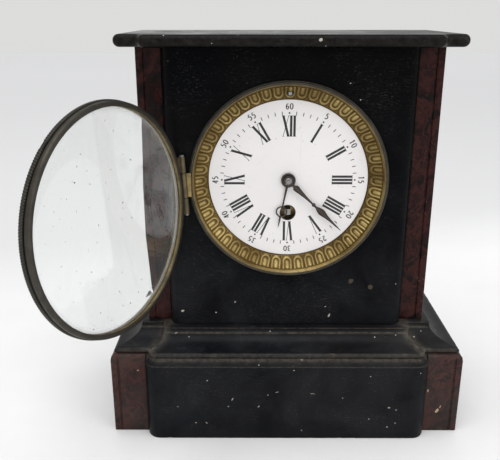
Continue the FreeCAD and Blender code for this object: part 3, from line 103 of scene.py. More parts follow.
def make_piece(name, grids, material, stands_for=(), body="case", marks=None, sharp=40):
    """Join the grids into one mesh in metres. marks is a value from 0 to 1 at each point, for the finish."""
    points = np.concatenate([g[0] for g in grids]) * MM
    starts = np.cumsum([0] + [len(g[0]) for g in grids[:-1]])
    quads = np.concatenate([g[1] + s for g, s in zip(grids, starts)])
    mesh = bpy.data.meshes.new(name)
    mesh.from_pydata(points.astype(np.float32), [], quads)
    # The marks are wear on most pieces, and painted highlight or painted shade on some; the finishes read them.
    layer = mesh.attributes.new("wear_and_painted_light", "FLOAT", "POINT")
    values = np.zeros(len(points)) if marks is None else np.concatenate([np.ravel(m) for m in marks])
    layer.data.foreach_set("value", values.astype(np.float32))
    shape = bmesh.new()
    shape.from_mesh(mesh)
    bmesh.ops.remove_doubles(shape, verts=shape.verts, dist=2e-6)
    bmesh.ops.dissolve_degenerate(shape, edges=shape.edges, dist=1e-7)
    bmesh.ops.recalc_face_normals(shape, faces=shape.faces)
    shape.to_mesh(mesh)
    shape.free()
    mesh.shade_smooth()
    mesh.set_sharp_from_angle(angle=math.radians(sharp))
    mesh.materials.append(material)
    piece = bpy.data.objects.new(name, mesh)
    bpy.context.scene.collection.objects.link(piece)
    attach(piece, body)
    if stands_for:
        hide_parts(*stands_for)
    print(name, len(mesh.polygons), "faces")


def lumps(points, size, seed):
    """Smooth noise from -1 to 1: random values at the corners of cubes of that size, blended between them."""
    table = np.random.default_rng(seed).uniform(-1, 1, 4096)
    place = np.asarray(points, float) / size
    cell = np.floor(place).astype(np.int64)
    part = place - cell
    part = part * part * (3 - 2 * part)
    total = np.zeros(place.shape[:-1])
    for corner in np.ndindex(2, 2, 2):
        index = ((cell + corner) * (73, 179, 283)).sum(-1) % 4096
        total += table[index] * np.prod(np.where(corner, part, 1 - part), -1)
    return total


# %% [markdown]
# ## Finishes
# A finish is a small recipe of noise, colour steps and bumps around one Principled shader. The helper below
# keeps each recipe short. Patterns sit on Object coordinates, which here are the clock's own metres, so a
# scratch keeps its place and size on every piece.


# %% The recipe helper
class Recipe:
    """A material whose parts are added one by one; each call returns the output that the next one uses."""

    def __init__(self, name, **fixed):
        self.material = bpy.data.materials.new(name)
        self.material.use_nodes = True
        self.tree = self.material.node_tree
        self.shader = self.tree.nodes["Principled BSDF"]
        for socket, value in fixed.items():
            self.shader.inputs[socket.replace("_", " ")].default_value = value
        self.place = self.node("TexCoord").outputs["Object"]

    def node(self, kind, inputs=(), **settings):
        made = self.tree.nodes.new("ShaderNode" + kind)
        for key, value in settings.items():
            setattr(made, key, value)
        for socket, value in dict(inputs).items():
            if isinstance(value, bpy.types.NodeSocket):
                self.tree.links.new(value, made.inputs[socket])
            else:
                made.inputs[socket].default_value = value
        return made

    def stretched(self, scale, turn=(0, 0, 0)):
        return self.node("Mapping", {"Vector": self.place, "Scale": scale, "Rotation": turn}).outputs[0]

    def noise(self, scale, detail=3.0, rough=0.5, vector=None, warp=0.0):
        return self.node("TexNoise", {"Vector": vector or self.place, "Scale": scale, "Detail": detail,
                                      "Roughness": rough, "Distortion": warp}).outputs["Fac"]

    def cells(self, scale, vector=None):
        """Distance to the nearest border between cells."""
        return self.node("TexVoronoi", {"Vector": vector or self.place, "Scale": scale},
                         feature="DISTANCE_TO_EDGE").outputs["Distance"]

    def steps(self, value, *stops):
        """Colour or grey steps along a value, from (place, colour) pairs."""
        made = self.node("ValToRGB", {"Fac": value})
        while len(made.color_ramp.elements) < len(stops):
            made.color_ramp.elements.new(0.5)
        for element, (place, colour) in zip(made.color_ramp.elements, stops):
            element.position = place
            element.color = (*colour, 1) if isinstance(colour, tuple) else (colour, colour, colour, 1)
        return made.outputs["Color"]

    def sum(self, operation, a, b):
        return self.node("Math", {0: a, 1: b}, operation=operation).outputs[0]

    def times(self, a, b):
        return self.sum("MULTIPLY", a, b)

    def plus(self, a, b):
        return self.sum("ADD", a, b)

    def larger(self, a, b):
        return self.sum("MAXIMUM", a, b)

    def blend(self, amount, a, b, how="MIX"):
        made = self.node("Mix", data_type="RGBA", blend_type=how)
        sockets = [made.inputs[0], made.inputs[6], made.inputs[7]]
        for socket, value in zip(sockets, (amount, a, b)):
            if isinstance(value, bpy.types.NodeSocket):
                self.tree.links.new(value, socket)
            else:
                socket.default_value = (*value, 1) if isinstance(value, tuple) else value
        return made.outputs[2]

    # The mark value: wear, and on some pieces painted highlight or painted shade.
    def wear_and_painted_light(self):
        return self.node("Attribute", attribute_name="wear_and_painted_light").outputs["Fac"]

    def set(self, **outputs):
        for socket, output in outputs.items():
            self.tree.links.new(output, self.shader.inputs[socket.replace("_", " ")])
        return self

    def bump(self, *layers):
        """Stack bumps from (height, strength, depth in millimetres)."""
        normal = None
        for height, strength, depth in layers:
            inputs = {"Height": height, "Strength": strength, "Distance": depth * MM}
            if normal:
                inputs["Normal"] = normal
            normal = self.node("Bump", inputs).outputs[0]
        return self.set(Normal=normal)


# %% [markdown]
# ### Slate
# The case is black Belgian-type slate, once waxed. Up close it is near black with a cloudy grey film, small
# pale nicks, fine scratches and brown dust in the hollows. One function makes each variant: how much film
# and dust a block carries depends on where it stands in the case.


# %% Slate, in five states of wear
OVAL_SHARE = 0.8


def speckled(r, scale, share, size, turn=0.6):
    """Small marks: a share of the cells holds a spot of up to size. 1 inside the spots and 0 elsewhere."""
    place = r.stretched((1, 1, 1.5), (0, turn, 0))
    cell = r.node("TexVoronoi", {"Vector": place, "Scale": scale}, feature="F1")
    lot = r.node("SeparateColor", {"Color": cell.outputs["Color"]})
    chosen = r.sum("GREATER_THAN", lot.outputs[0], 1 - share)
    reach = r.times(lot.outputs[1], size)
    return r.times(r.sum("LESS_THAN", cell.outputs["Distance"], reach), chosen)


def around(r, places):
    """1 near any of the places (x, height, reach in millimetres) seen from the front, fading to 0."""
    flat = r.node("VectorMath", {0: r.place, 1: (1, 0, 1)}, operation="MULTIPLY").outputs[0]
    total = None
    for x, z, reach in places:
        away = r.node("VectorMath", {0: flat, 1: (x * MM, 0, z * MM)},
                      operation="DISTANCE").outputs["Value"]
        ends = {"Value": away, "From Min": reach * MM, "From Max": reach * MM * 0.2}
        near = r.node("MapRange", ends).outputs[0]
        total = near if total is None else r.larger(total, near)
    return total


def ovals(r, places, ragged):
    """1 inside ragged ovals, each (x, height, half length, half width in mm, lean in degrees), drawn at
    OVAL_SHARE of that size."""
    nearest = None
    for x, z, long, wide, lean in places:
        long, wide = long * OVAL_SHARE, wide * OVAL_SHARE
        oval = r.node("Mapping", {"Vector": r.place, "Location": (x * MM, 0, z * MM),
                                  "Scale": (long * MM, 1e3, wide * MM),
                                  "Rotation": (0, -math.radians(lean), 0)},
                      vector_type="TEXTURE").outputs[0]
        away = r.node("VectorMath", {0: oval}, operation="LENGTH").outputs["Value"]
        nearest = away if nearest is None else r.sum("MINIMUM", nearest, away)
    torn = r.times(r.noise(1500, 2), ragged)
    return r.sum("LESS_THAN", r.plus(nearest, torn), 1.0 + ragged / 2)


def slate(name, deep, film, low_film, dust, matte, shine=0.08, scuffs=(), stains=(), chips=()):
    """Black stone: a grey film in clouds, stronger below (low_film), brown dust in patches, pale nicks.
    scuffs are rubbed places (x, height, reach in millimetres); stains and chips are brown and pale ovals."""
    r = Recipe(name, IOR=1.5, Specular_IOR_Level=shine)
    height = r.node("SeparateXYZ", {"Vector": r.place}).outputs["Z"]
    lower = r.node("MapRange", {"Value": height, "From Min": 0.21, "From Max": 0.09, "To Min": film,
                                "To Max": low_film}).outputs[0]
    cloud = r.steps(r.noise(26, 6, 0.62, warp=0.6), (0.38, 0.0), (0.72, 1.0))
    patches = r.steps(r.noise(11, 4, 0.6), (0.42, 0.0), (0.72, 1.0))
    veil = r.times(r.plus(r.times(cloud, 0.8), 0.2), lower)
    colour = r.blend(veil, (deep, deep * 1.2, deep * 1.8), (0.032, 0.0345, 0.038))
    colour = r.blend(r.times(patches, dust), colour, (0.075, 0.062, 0.046))
    fine = r.steps(r.noise(900, 2, 0.6), (0.64, 0.0), (0.72, 1.0))
    colour = r.blend(r.times(fine, r.times(cloud, 0.22)), colour, (0.15, 0.145, 0.13))
    nick = speckled(r, 62.0, 0.30, 0.04)
    fleck = r.times(speckled(r, 260.0, 0.10, 0.2, 1.9), r.steps(r.noise(24, 2), (0.48, 0.0), (0.6, 1.0)))
    mark = r.larger(nick, fleck)
    if scuffs:
        threads = r.noise(430, 3, 0.7, r.stretched((1, 1, 4), (0, 0.7, 0)))
        rubbed = r.times(around(r, scuffs), r.steps(threads, (0.57, 0.0), (0.68, 1.0)))
        colour = r.blend(r.times(rubbed, 0.27), colour, (0.11, 0.108, 0.10))
    if stains:
        colour = r.blend(r.times(ovals(r, stains, 0.9), 0.7), colour, (0.085, 0.068, 0.05))
    if chips:
        mark = r.larger(mark, ovals(r, chips, 0.7))
    colour = r.blend(r.times(mark, 0.8), colour, (0.50, 0.475, 0.41))
    scratches = None
    for turn, scale in ((0.9, 70), (-0.7, 55), (0.05, 60)):
        lines = r.noise(scale, 2, 0.5, r.stretched((1, 1, 16), (0, turn, 0)))
        turned_place = r.stretched((1, 1, 1), (turn, 0, turn))
        where = r.steps(r.noise(30, 2, 0.5, turned_place), (0.56, 0.0), (0.66, 1.0))
        line = r.times(r.steps(lines, (0.492, 0.0), (0.5, 1.0), (0.508, 0.0)), where)
        scratches = line if scratches is None else r.larger(scratches, line)
    colour = r.blend(r.times(scratches, 0.2), colour, (0.15, 0.145, 0.135))
    # High marks turn the stone pale brown: chipped and worn edges, and on the slab, the waist and the base's bevel
    # also lines of painted highlight.
    edge = r.times(r.wear_and_painted_light(), r.steps(r.noise(300, 4, 0.7), (0.36, 0.25), (0.66, 1.0)))
    colour = r.blend(r.times(edge, 0.7), colour, (0.155, 0.132, 0.104))
    rough = r.steps(r.noise(38, 5, 0.65, warp=0.4), (0.3, matte - 0.1), (0.7, matte + 0.14))
    rough = r.blend(patches, rough, (min(matte + 0.2, 0.8),) * 3)
    r.set(Base_Color=colour, Roughness=rough)
    r.bump((r.noise(260, 5, 0.6), 0.12, 0.25), (scratches, 0.2, 0.1), (mark, -0.4, 0.2))
    return r.material


panel_scuffs = [(23, 84, 10), (8, 96, 7), (-30, 83, 6), (52, 205, 15), (57, 190, 9), (-55, 215, 14),
                (26, 78, 9), (0, 78, 40)]
panel_stains = [(39, 96, 2.1, 1.7, 60), (51, 92, 1.9, 1.8, 10)]
panel_chips = [(-31.5, 82, 0.7, 0.45, 60), (-43.4, 75, 0.6, 0.5, 0), (-64, 76, 1.3, 0.8, 20),
               (26.5, 73, 1.5, 0.6, 65), (66.5, 94, 0.4, 0.4, 0), (39, 205, 0.45, 0.45, 0),
               (33, 214, 0.6, 0.25, 30), (24, 79, 0.7, 0.3, 20)]
base_chips = [(-48, 41, 0.7, 0.35, 40), (-33, 28, 1.3, 0.35, 62), (-35.5, 23, 0.5, 0.4, 0),
              (-17, 23, 1.0, 0.35, 50), (-11.4, 31, 0.45, 0.35, 0), (-6, 33, 1.5, 0.18, 12),
              (15.5, 32, 1.9, 0.18, -4), (-55.6, 11.3, 0.5, 0.4, 0), (-49, 11.3, 0.75, 0.35, -40),
              (4, 48, 0.5, 0.4, 0), (50, 44, 0.45, 0.4, 0), (34, 29, 0.5, 0.35, 30),
              (67, 11.3, 0.4, 0.4, 0), (80, 46, 0.4, 0.4, 0), (9.5, 6, 0.5, 0.35, 0),
              (-17, 51, 0.4, 0.3, 0)]
waist_chips = [(-68, 63, 1.1, 0.35, 25), (-60, 61, 0.4, 0.3, 0), (54.5, 61, 0.45, 0.4, 0),
               (67.6, 62, 0.4, 0.35, 0), (85, 61, 0.4, 0.3, 0), (0, 66, 0.5, 0.3, 0)]
slate_panel = slate("slate_panel", 0.001, 0.02, 0.38, 0.03, 0.22, 0.03, panel_scuffs, panel_stains,
                    panel_chips)
slab_chips = [(14.8, 237.3, 1.25, 1.05, 30), (-42.5, 235.5, 0.4, 0.3, 0)]
slate_slab = slate("slate_slab", 0.001, 0.04, 0.04, 0.03, 0.2, 0.06, chips=slab_chips)
slate_waist = slate("slate_waist", 0.002, 0.55, 0.55, 0.14, 0.3, 0.1, chips=waist_chips)
slate_base = slate("slate_base", 0.002, 0.42, 0.42, 0.05, 0.38, 0.05, chips=base_chips)
slate_plain = slate("slate_plain", 0.003, 0.3, 0.4, 0.15, 0.4)
print("five slate finishes")

# %% [markdown]
# ### Red marble
# The strips and the base blocks are dark red marble: clouds of maroon and near black, a few pale flecks and
# a polish that has dulled. Two noises, one bending the other, give the clouds.

# %% Marble
def marble(name, strength, dusty, chips=()):
    """Clouded red stone. strength scales its reds, dusty greys it, and chips are tan ovals."""
    r = Recipe(name, IOR=1.5, Specular_IOR_Level=0.1)
    bend = r.noise(30, 4, 0.6)
    bent = r.blend(0.06, r.place, bend, "ADD")
    clouds = r.noise(55, 6, 0.66, bent, warp=1.2)
    reds = [(place, tuple(c * strength for c in shade)) for place, shade in
            ((0.38, (0.006, 0.005, 0.006)), (0.47, (0.048, 0.013, 0.012)), (0.55, (0.115, 0.030, 0.024)),
             (0.62, (0.014, 0.008, 0.009)))]
    colour = r.steps(clouds, *reds)
    fleck = r.times(r.steps(r.noise(520, 3, 0.6), (0.62, 0.0), (0.7, 1.0)),
                    r.steps(r.noise(40, 3), (0.5, 0.0), (0.64, 1.0)))
    colour = r.blend(r.times(fleck, 0.25 + 0.4 * dusty), colour, (0.20, 0.16, 0.13))
    vein = r.steps(r.cells(48, bent), (0.0, 1.0), (0.022, 0.0))
    colour = r.blend(r.times(vein, 0.5), colour, (0.004, 0.003, 0.004))
    film = r.times(r.steps(r.noise(22, 5, 0.65), (0.3, 0.2), (0.7, 1.0)), dusty)
    colour = r.blend(film, colour, (0.080, 0.070, 0.062))
    nick = speckled(r, 120.0, 0.12, 0.09)
    edge = r.times(r.wear_and_painted_light(), r.steps(r.noise(280, 4, 0.7), (0.42, 0.1), (0.66, 1.0)))
    colour = r.blend(r.times(r.larger(edge, nick), 0.6), colour, (0.17, 0.13, 0.10))
    if chips:
        colour = r.blend(r.times(ovals(r, chips, 0.8), 0.9), colour, (0.46, 0.33, 0.22))
    r.set(Base_Color=colour, Roughness=r.steps(r.noise(60, 4), (0.3, 0.22), (0.7, 0.42)))
    r.bump((r.noise(330, 4, 0.6), 0.08, 0.2), (vein, -0.1, 0.1), (nick, -0.4, 0.2))
    return r.material


red_marble = marble("red_marble", 0.36, 0.04)
marble_chips = [(94.6, 14.6, 2.0, 1.1, 60), (96.4, 17.4, 1.3, 0.4, 70), (87.8, 29, 1.3, 0.5, 90),
                (-91, 43, 0.8, 0.4, 20)]
dusty_marble = marble("red_marble_dusty", 0.55, 0.42, marble_chips)

# %% [markdown]
# ### Metals
# The dial's ring is gilt brass: its recipe reads the height that the shape function wrote into the mesh
# and paints the ridges bright as painted highlight and the hollows dark brown as painted shade. The door's
# rim is brass gone brown. The movement is satin brass and steel.


# %% Brass, gilt and steel
def metal(name, bright, dull, dirt, rough, grain=(1, 1, 1), metallic=1.0, amount=0.6):
    """Metal from bright at mark 1 to dull at mark 0, with dirt in patches. The marks are wear and gilding, and on
    the gilt ring and the hands painted highlight on ridges and painted shade in hollows.
    """
    r = Recipe(name, Metallic=metallic)
    patch = r.steps(r.noise(120, 5, 0.65, warp=0.5), (0.38, 0.0), (0.7, 1.0))
    # The mark blends dull to bright: on the gilt ring and the hands this is painted shade and painted highlight.
    colour = r.blend(r.wear_and_painted_light(), dull, bright)
    colour = r.blend(r.times(patch, amount), colour, dirt)
    lines = r.noise(500, 3, 0.6, r.stretched(grain))
    spots = r.steps(r.noise(700, 3, 0.6), (0.62, 0.0), (0.7, 1.0))
    colour = r.blend(r.times(spots, amount * 0.5), colour, dirt)
    r.set(Base_Color=colour, Roughness=r.steps(r.plus(patch, lines), (0.2, rough), (1.3, rough + 0.22)))
    r.bump((lines, 0.06, 0.05), (r.noise(240, 4), 0.1, 0.12))
    return r.material


gilt = metal("gilt_brass", (0.62, 0.47, 0.19), (0.07, 0.04, 0.012), (0.12, 0.07, 0.024), 0.25, amount=0.35)
patina = metal("dark_brass", (0.50, 0.36, 0.14), (0.062, 0.061, 0.058), (0.036, 0.033, 0.031), 0.36,
               amount=0.5)
brass = metal("brass", (0.70, 0.52, 0.24), (0.62, 0.45, 0.19), (0.34, 0.24, 0.10), 0.26, (1, 1, 8),
              amount=0.4)
steel = metal("steel", (0.5, 0.5, 0.5), (0.36, 0.36, 0.37), (0.16, 0.12, 0.09), 0.3, (8, 1, 1), amount=0.35)
blackened = metal("blackened_steel", (0.10, 0.085, 0.075), (0.022, 0.018, 0.017), (0.045, 0.028, 0.02),
                  0.34, metallic=0.7, amount=0.5)

# %% [markdown]
# ### Enamel, print and glass
# Enamel is glass over white: smooth, a little warm, with a few hairlines and specks. The print is fired
# black. The door's glass is clear with old smears, which scatter a little light where they lie, and its
# bevel's edge is painted near-white as a painted highlight.

# %% Enamel, ink and glass
r = Recipe("enamel", IOR=1.5, Coat_Weight=0.4, Coat_Roughness=0.06)
speck = r.steps(r.noise(650, 2, 0.5), (0.72, 0.0), (0.76, 1.0))
hair = r.times(r.steps(r.cells(38), (0.0, 1.0), (0.008, 0.0)),
               r.steps(r.noise(28, 2), (0.6, 0.0), (0.7, 1.0)))
colour = r.blend(r.steps(r.noise(24, 4), (0.3, 0.0), (0.75, 1.0)), (0.84, 0.815, 0.805),
                 (0.78, 0.755, 0.74))
colour = r.blend(r.times(speck, 0.5), colour, (0.34, 0.30, 0.26))
colour = r.blend(r.times(hair, 0.35), colour, (0.42, 0.39, 0.36))
r.set(Base_Color=colour, Roughness=r.steps(r.noise(80, 4), (0.3, 0.12), (0.75, 0.26)))
r.bump((r.noise(45, 3), 0.05, 0.15))
enamel = r.material

r = Recipe("ink", IOR=1.5)
r.set(Base_Color=r.steps(r.noise(420, 3), (0.35, 0.006), (0.75, 0.03)),
      Roughness=r.steps(r.noise(160, 3), (0.3, 0.25), (0.7, 0.45)))
ink = r.material

r = Recipe("clear_glass", IOR=1.46, Transmission_Weight=1.0)
smear = r.steps(r.noise(34, 5, 0.6, r.stretched((1, 1, 0.35), (0, 0.35, 0)), warp=0.8), (0.46, 0.0),
                (0.74, 1.0))
wiped = r.steps(r.noise(160, 3, 0.5, r.stretched((1, 1, 0.12), (0, 0.5, 0))), (0.45, 0.0), (0.7, 1.0))
speck = r.steps(r.noise(520, 2, 0.5), (0.73, 0.0), (0.76, 1.0))
film = r.plus(r.times(smear, 0.045), r.times(r.times(wiped, smear), 0.07))
spot = speckled(r, 75.0, 0.10, 0.07)
film = r.plus(r.plus(film, r.times(r.larger(speck, spot), 0.7)), 0.025)
# Where the mark is high, on the bevel's edge, the glass is painted near-white and opaque as a painted highlight.
film = r.plus(film, r.times(r.sum("POWER", r.wear_and_painted_light(), 2.0), 0.75))
r.set(Base_Color=r.blend(r.larger(speck, spot), (0.97, 0.985, 0.98), (0.20, 0.18, 0.15)),
      Transmission_Weight=r.sum("SUBTRACT", 1.0, film), Roughness=r.steps(smear, (0.0, 0.0), (1.0, 0.015)))
clear_glass = r.material
print("finishes:", len(bpy.data.materials))

# %% [markdown]
# ## Outlines with round corners
# Every block of the case is a plan outline with rounded corners. Listing the corners and their radii is
# enough: the function works out each arc and fills the straight runs with points. Corners may turn either
# way, so the same function draws the breaks where the middle of the case stands forward.


# %% Outline helper
def outline(corners, radii, step=2.0, closed=True):
    """Points round a polygon whose corners are arcs: tangent length is radius times tan(half the turn)."""
    corners = np.asarray(corners, float)
    parts = []
    last = len(corners) - 1
    for i, (corner, radius) in enumerate(zip(corners, radii)):
        if not closed and i in (0, last):
            parts.append(corner[None])
            continue
        before = corners[i - 1] - corner
        after = corners[(i + 1) % len(corners)] - corner
        before, after = before / np.linalg.norm(before), after / np.linalg.norm(after)
        turn = math.pi - math.acos(np.clip(before @ after, -1, 1))
        inward = (before + after) / np.linalg.norm(before + after)
        centre = corner + inward * radius / math.cos(turn / 2)
        start = corner + before * radius * math.tan(turn / 2)
        end = corner + after * radius * math.tan(turn / 2)
        t = np.linspace(0, 1, 9)[:, None]
        arm, far = start - centre, end - centre
        arc = (arm * np.sin((1 - t) * turn) + far * np.sin(t * turn)) / math.sin(turn)
        parts.append(centre + arc)
    points = []
    for i, part in enumerate(parts):
        points.append(part)
        if i == last and not closed:
            break
        a, b = part[-1], parts[(i + 1) % len(parts)][0]
        count = max(1, int(np.linalg.norm(b - a) / step))
        points.append(a + (b - a) * np.arange(1, count)[:, None] / count)
    return np.concatenate(points)


def outward(line, closed=True):
    """Unit normals of a counter-clockwise plan line: its direction turned a right angle clockwise."""
    ahead = np.roll(line, -1, 0) - np.roll(line, 1, 0)
    if not closed:
        ahead[0], ahead[-1] = line[1] - line[0], line[-1] - line[-2]
    ahead /= np.linalg.norm(ahead, axis=1, keepdims=True)
    return np.stack([ahead[:, 1], -ahead[:, 0]], 1)


def chipped(points, amount, seed):
    """Depth of the losses along an edge: at most 0.12 of amount anywhere, and up to amount more in places."""
    rough = lumps(points, 5.5, seed) + 0.45 * lumps(points, 1.7, seed + 1)
    losses = amount * np.clip((rough - 0.62) / 0.5, 0, 1) ** 1.4
    return losses + amount * 0.06 * (1 + lumps(points, 2.6, seed + 2))


def puck(line, rows, caps=(0.0, 0.5, 0.85, 0.97), chip=0.0, seed=0, edge_rows=()):
    """A block from a plan outline. Each row is (inset, height); the first and last rows are closed by rings
    that shrink to the middle. Rows in edge_rows are chipped, and the chips are marked as wear.
    The back stays flat: its points only move sideways, in proportion to their x."""
    normals = outward(line)
    middle = (line.max(0) + line.min(0)) / 2
    at_back = (line[:, 1] > line[:, 1].max() - 1.0)[:, None]
    grid, marks = [], []
    for i, (inset, height) in enumerate(rows):
        inset = np.broadcast_to(inset, len(line))[:, None]
        sideways = np.column_stack([line[:, :1] * (1 - inset / line[:, 0].max()), line[:, 1]])
        plan = np.where(at_back, sideways, line - normals * inset)
        ring = np.column_stack([plan, np.full(len(line), height)])
        worn_and_painted_light = np.zeros(len(line))
        if i in edge_rows:
            loss = chipped(ring, chip, seed)
            loss = np.where(at_back[:, 0], 0.0, loss)
            ring[:, :2] -= normals * loss[:, None]
            worn_and_painted_light = 0.35 + 0.65 * np.clip(loss / max(chip, 1e-6) * 3, 0, 1)
        grid.append(ring)
        marks.append(worn_and_painted_light)
    for which, order in ((0, caps), (-1, caps[::-1])):
        ring = grid[which]
        plan = middle + (ring[None, :, :2] - middle) * np.asarray(order)[:, None, None]
        cap = np.dstack([plan, np.broadcast_to(ring[:, 2], plan.shape[:2])])
        cap = list(cap)
        blank = [np.zeros(len(line))] * len(cap)
        if which == 0:
            grid, marks = cap + grid, blank + marks
        else:
            grid, marks = grid + cap, marks + blank
    return closed_grid(np.array(grid)), np.array(marks)


# %% [markdown]
# ## The top slab
# The slab's edge is a full half round, and its middle breaks forward over the panel with small ogee
# corners. A plan outline swept through a half-round section gives it; small chips are cut into the rows
# along the middle of the edge. The pale chip at the front is a mark in the slate's finish.

# %% Top slab
slab_low, slab_high = box_mm("top_slab")
strip_low, strip_high = box_mm("marble_strip_right")
panel_break = strip_low[1] - SLATE_FACE
slab_overhang = SLATE_FACE - slab_low[1]
body_half = strip_high[0]
panel_half = panel_high.x / MM
case_back = slab_high[1]


def breakfront(half, middle, face, end_face, back, corner, turn, rear=0.8):
    """Plan corners of a block whose middle stands forward, anticlockwise from the back right."""
    right = [(half, back), (-half, back), (-half, end_face), (-middle, end_face), (-middle, face),
             (middle, face), (middle, end_face), (half, end_face)]
    return outline(right, [rear, rear, corner, turn, turn, turn, turn, corner])


slab_line = breakfront(slab_high[0], panel_half + slab_overhang, slab_low[1], slab_low[1] + panel_break,
                       case_back, 4.0, panel_break / 2)
edge_round = 3.3
angle = np.radians(np.linspace(90, -90, 13))
slab_middle = (slab_low[2] + slab_high[2]) / 2
straight = (slab_high[2] - slab_low[2]) / 2 - edge_round
section = [(edge_round * (1 - math.cos(a)),
            slab_middle + edge_round * math.sin(a) + math.copysign(straight, a)) for a in angle]
grid, marks = puck(slab_line, section, chip=0.7, seed=4, edge_rows=range(3, 10))
# A band near the top of the rounded edge is marked 0.8, so the slate finish paints a pale line there as a painted
# highlight; chip marks keep a quarter of their value.
upper = (grid[0][:, 2].reshape(marks.shape) - slab_middle) / (slab_high[2] - slab_middle)
marks = marks * 0.25 + 0.8 * np.clip(1 - np.abs(upper - 0.93) / 0.06, 0, 1) * (marks.std(1) > 0)[:, None]
make_piece("slate_top_slab", [grid], slate_slab, ["top_slab"], marks=[marks])

# %% [markdown]
# ## Panels with a round hole
# The front panel has rounded upright corners and the dial's hole. Laid flat it is a rectangle with a circle
# in it, so a grid that runs from the circle to the rectangle's border covers it; bending that flat sheet
# round the corners puts it in place. The wall of the hole, the back and the sides close it.


# %% Front panel and back wall
def holed_panel(half, low, high, face, back, corner, hole, centre, count=72):
    """Closed sheet between a circle and a rectangle, bent round two upright corners of the given radius."""
    wide = half - corner + corner * math.pi / 2
    side = np.linspace(-1, 1, count, endpoint=False)
    one = np.ones(count)
    border = np.concatenate([np.column_stack([side, -one]), np.column_stack([one, side]),
                             np.column_stack([-side, one]), np.column_stack([-one, -side])])
    border = np.column_stack([border[:, 0] * wide, np.where(border[:, 1] > 0, high, low)])
    border[count:2 * count, 1] = low + (side + 1) / 2 * (high - low)
    border[3 * count:, 1] = high - (side + 1) / 2 * (high - low)
    ray = border - (0, centre)
    ray /= np.linalg.norm(ray, axis=1, keepdims=True)
    circle = ray * hole + (0, centre)

    def bent(flat, depth):
        """Bend a flat point (x, z) round the corners: beyond the flat width the angle is length / radius."""
        over = np.clip(np.abs(flat[:, 0]) - (half - corner), 0, None) / corner
        x = np.sign(flat[:, 0]) * (np.minimum(np.abs(flat[:, 0]), half - corner) + corner * np.sin(over))
        return np.column_stack([x, depth + corner * (1 - np.cos(over)), flat[:, 1]])

    rows = [bent(circle + (border - circle) * t, face) for t in np.linspace(0, 1, 22) ** 1.3]
    wall = rows[-1].copy()
    wall[:, 1] = back
    wall[:, 0] = np.clip(wall[:, 0], -half, half)
    hole_back = np.column_stack([circle[:, 0], np.full(len(circle), back), circle[:, 1]])
    rows += [rows[-1] * (1, 0, 1) + (0, 1, 0) * ((rows[-1][:, 1:2] + back) / 2), wall]
    rows += [wall + (hole_back - wall) * t for t in (0.33, 0.67, 1.0)]
    return closed_grid(np.array(rows), ring_rows=True)


tube_high = box_mm("bezel_ring")[1]
DIAL_HOLE = 55.4
BACK_HOLE = 51.8
grid = holed_panel(panel_half, panel_low.z / MM, panel_high.z / MM, SLATE_FACE, panel_high.y / MM,
                   panel_break - 0.05, DIAL_HOLE, DIAL_HEIGHT)
make_piece("slate_front_panel", [grid], slate_panel, ["front_panel"])
wall_low, wall_high = box_mm("back_wall")
grid = holed_panel(wall_high[0], wall_low[2], wall_high[2], wall_low[1], wall_high[1], 0.4, BACK_HOLE,
                   DIAL_HEIGHT)
make_piece("slate_back_wall", [grid], slate_plain, ["back_wall"])

# %% [markdown]
# ## Blocks with worn edges
# Sides, marble strips and base blocks are boxes. A real box of stone has no sharp edge, so each is a box
# whose surface points are drawn back onto a smaller core and pushed out by the edge's radius. Bevels are
# planes that the points may not pass, and a scratched groove is a few rows of points set deeper.


# %% Worn blocks
def spaced(low, high, radius, step, extra=()):
    """Grid lines along one side of a block: close together at both edges, and at any extra places."""
    near = radius * np.array([0.0, 0.25, 0.6, 1.0, 1.6])
    count = max(2, int((high - low) / step))
    inside = np.linspace(low + near[-1], high - near[-1], count)
    lines = np.concatenate([low + near, inside, high - near, np.asarray(extra, float)])
    return np.unique(np.round(lines, 4))


def worn_block(low, high, radius=0.7, step=5.0, chip=0.5, seed=1, planes=(), groove=None):
    """Six grids of a box with round, chipped edges. A point becomes core + (radius - loss) * direction, where
    core is its nearest point in the box shrunk by radius, and direction points from there to it."""
    low, high = np.asarray(low, float), np.asarray(high, float)
    extra = [(), (), ()]
    if groove:
        middle, width, depth, low_end = groove
        extra[0] = [middle - width / 2 - 0.1, middle - width / 2, middle, middle + width / 2,
                    middle + width / 2 + 0.1]
    lines = [spaced(low[i], high[i], radius, step, extra[i]) for i in range(3)]
    grids, marks = [], []
    for axis in range(3):
        for end in (low, high):
            u, v = [lines[i] for i in range(3) if i != axis]
            a, b = np.meshgrid(u, v, indexing="ij")
            p = np.insert(np.stack([a, b], -1), axis, end[axis], -1)
            core = np.clip(p, low + radius, high - radius)
            away = p - core
            away /= np.maximum(np.linalg.norm(away, axis=-1, keepdims=True), 1e-9)
            edge = np.clip((1 - np.abs(away).max(-1)) / 0.29, 0, 1)
            loss = chipped(p, chip, seed) * edge
            q = core + away * radius - away * loss[..., None]
            if groove and axis == 1 and end is low:
                inside = (np.abs(a - middle) <= width / 2 + 1e-6) & (b < high[2] - low_end)
                q[..., 1] += depth * inside
            for normal, offset in planes:
                normal = np.asarray(normal) / np.linalg.norm(normal)
                over = np.clip(q @ normal - offset, 0, None)
                q = q - over[..., None] * normal
                edge = np.maximum(edge, (over > 1e-6) * 0.6)
            grids.append(closed_grid(q, ring_columns=False))
            marks.append(edge * (0.3 + 0.7 * np.clip(loss / max(chip, 1e-6) * 3, 0, 1)))
    return grids, marks


def bevel_plane(normal, corner, size):
    """A plane that cuts an edge through corner back by size on both of its faces."""
    unit = np.asarray(normal, float) / np.linalg.norm(normal)
    return normal, float(np.asarray(corner) @ unit - size / math.sqrt(2))


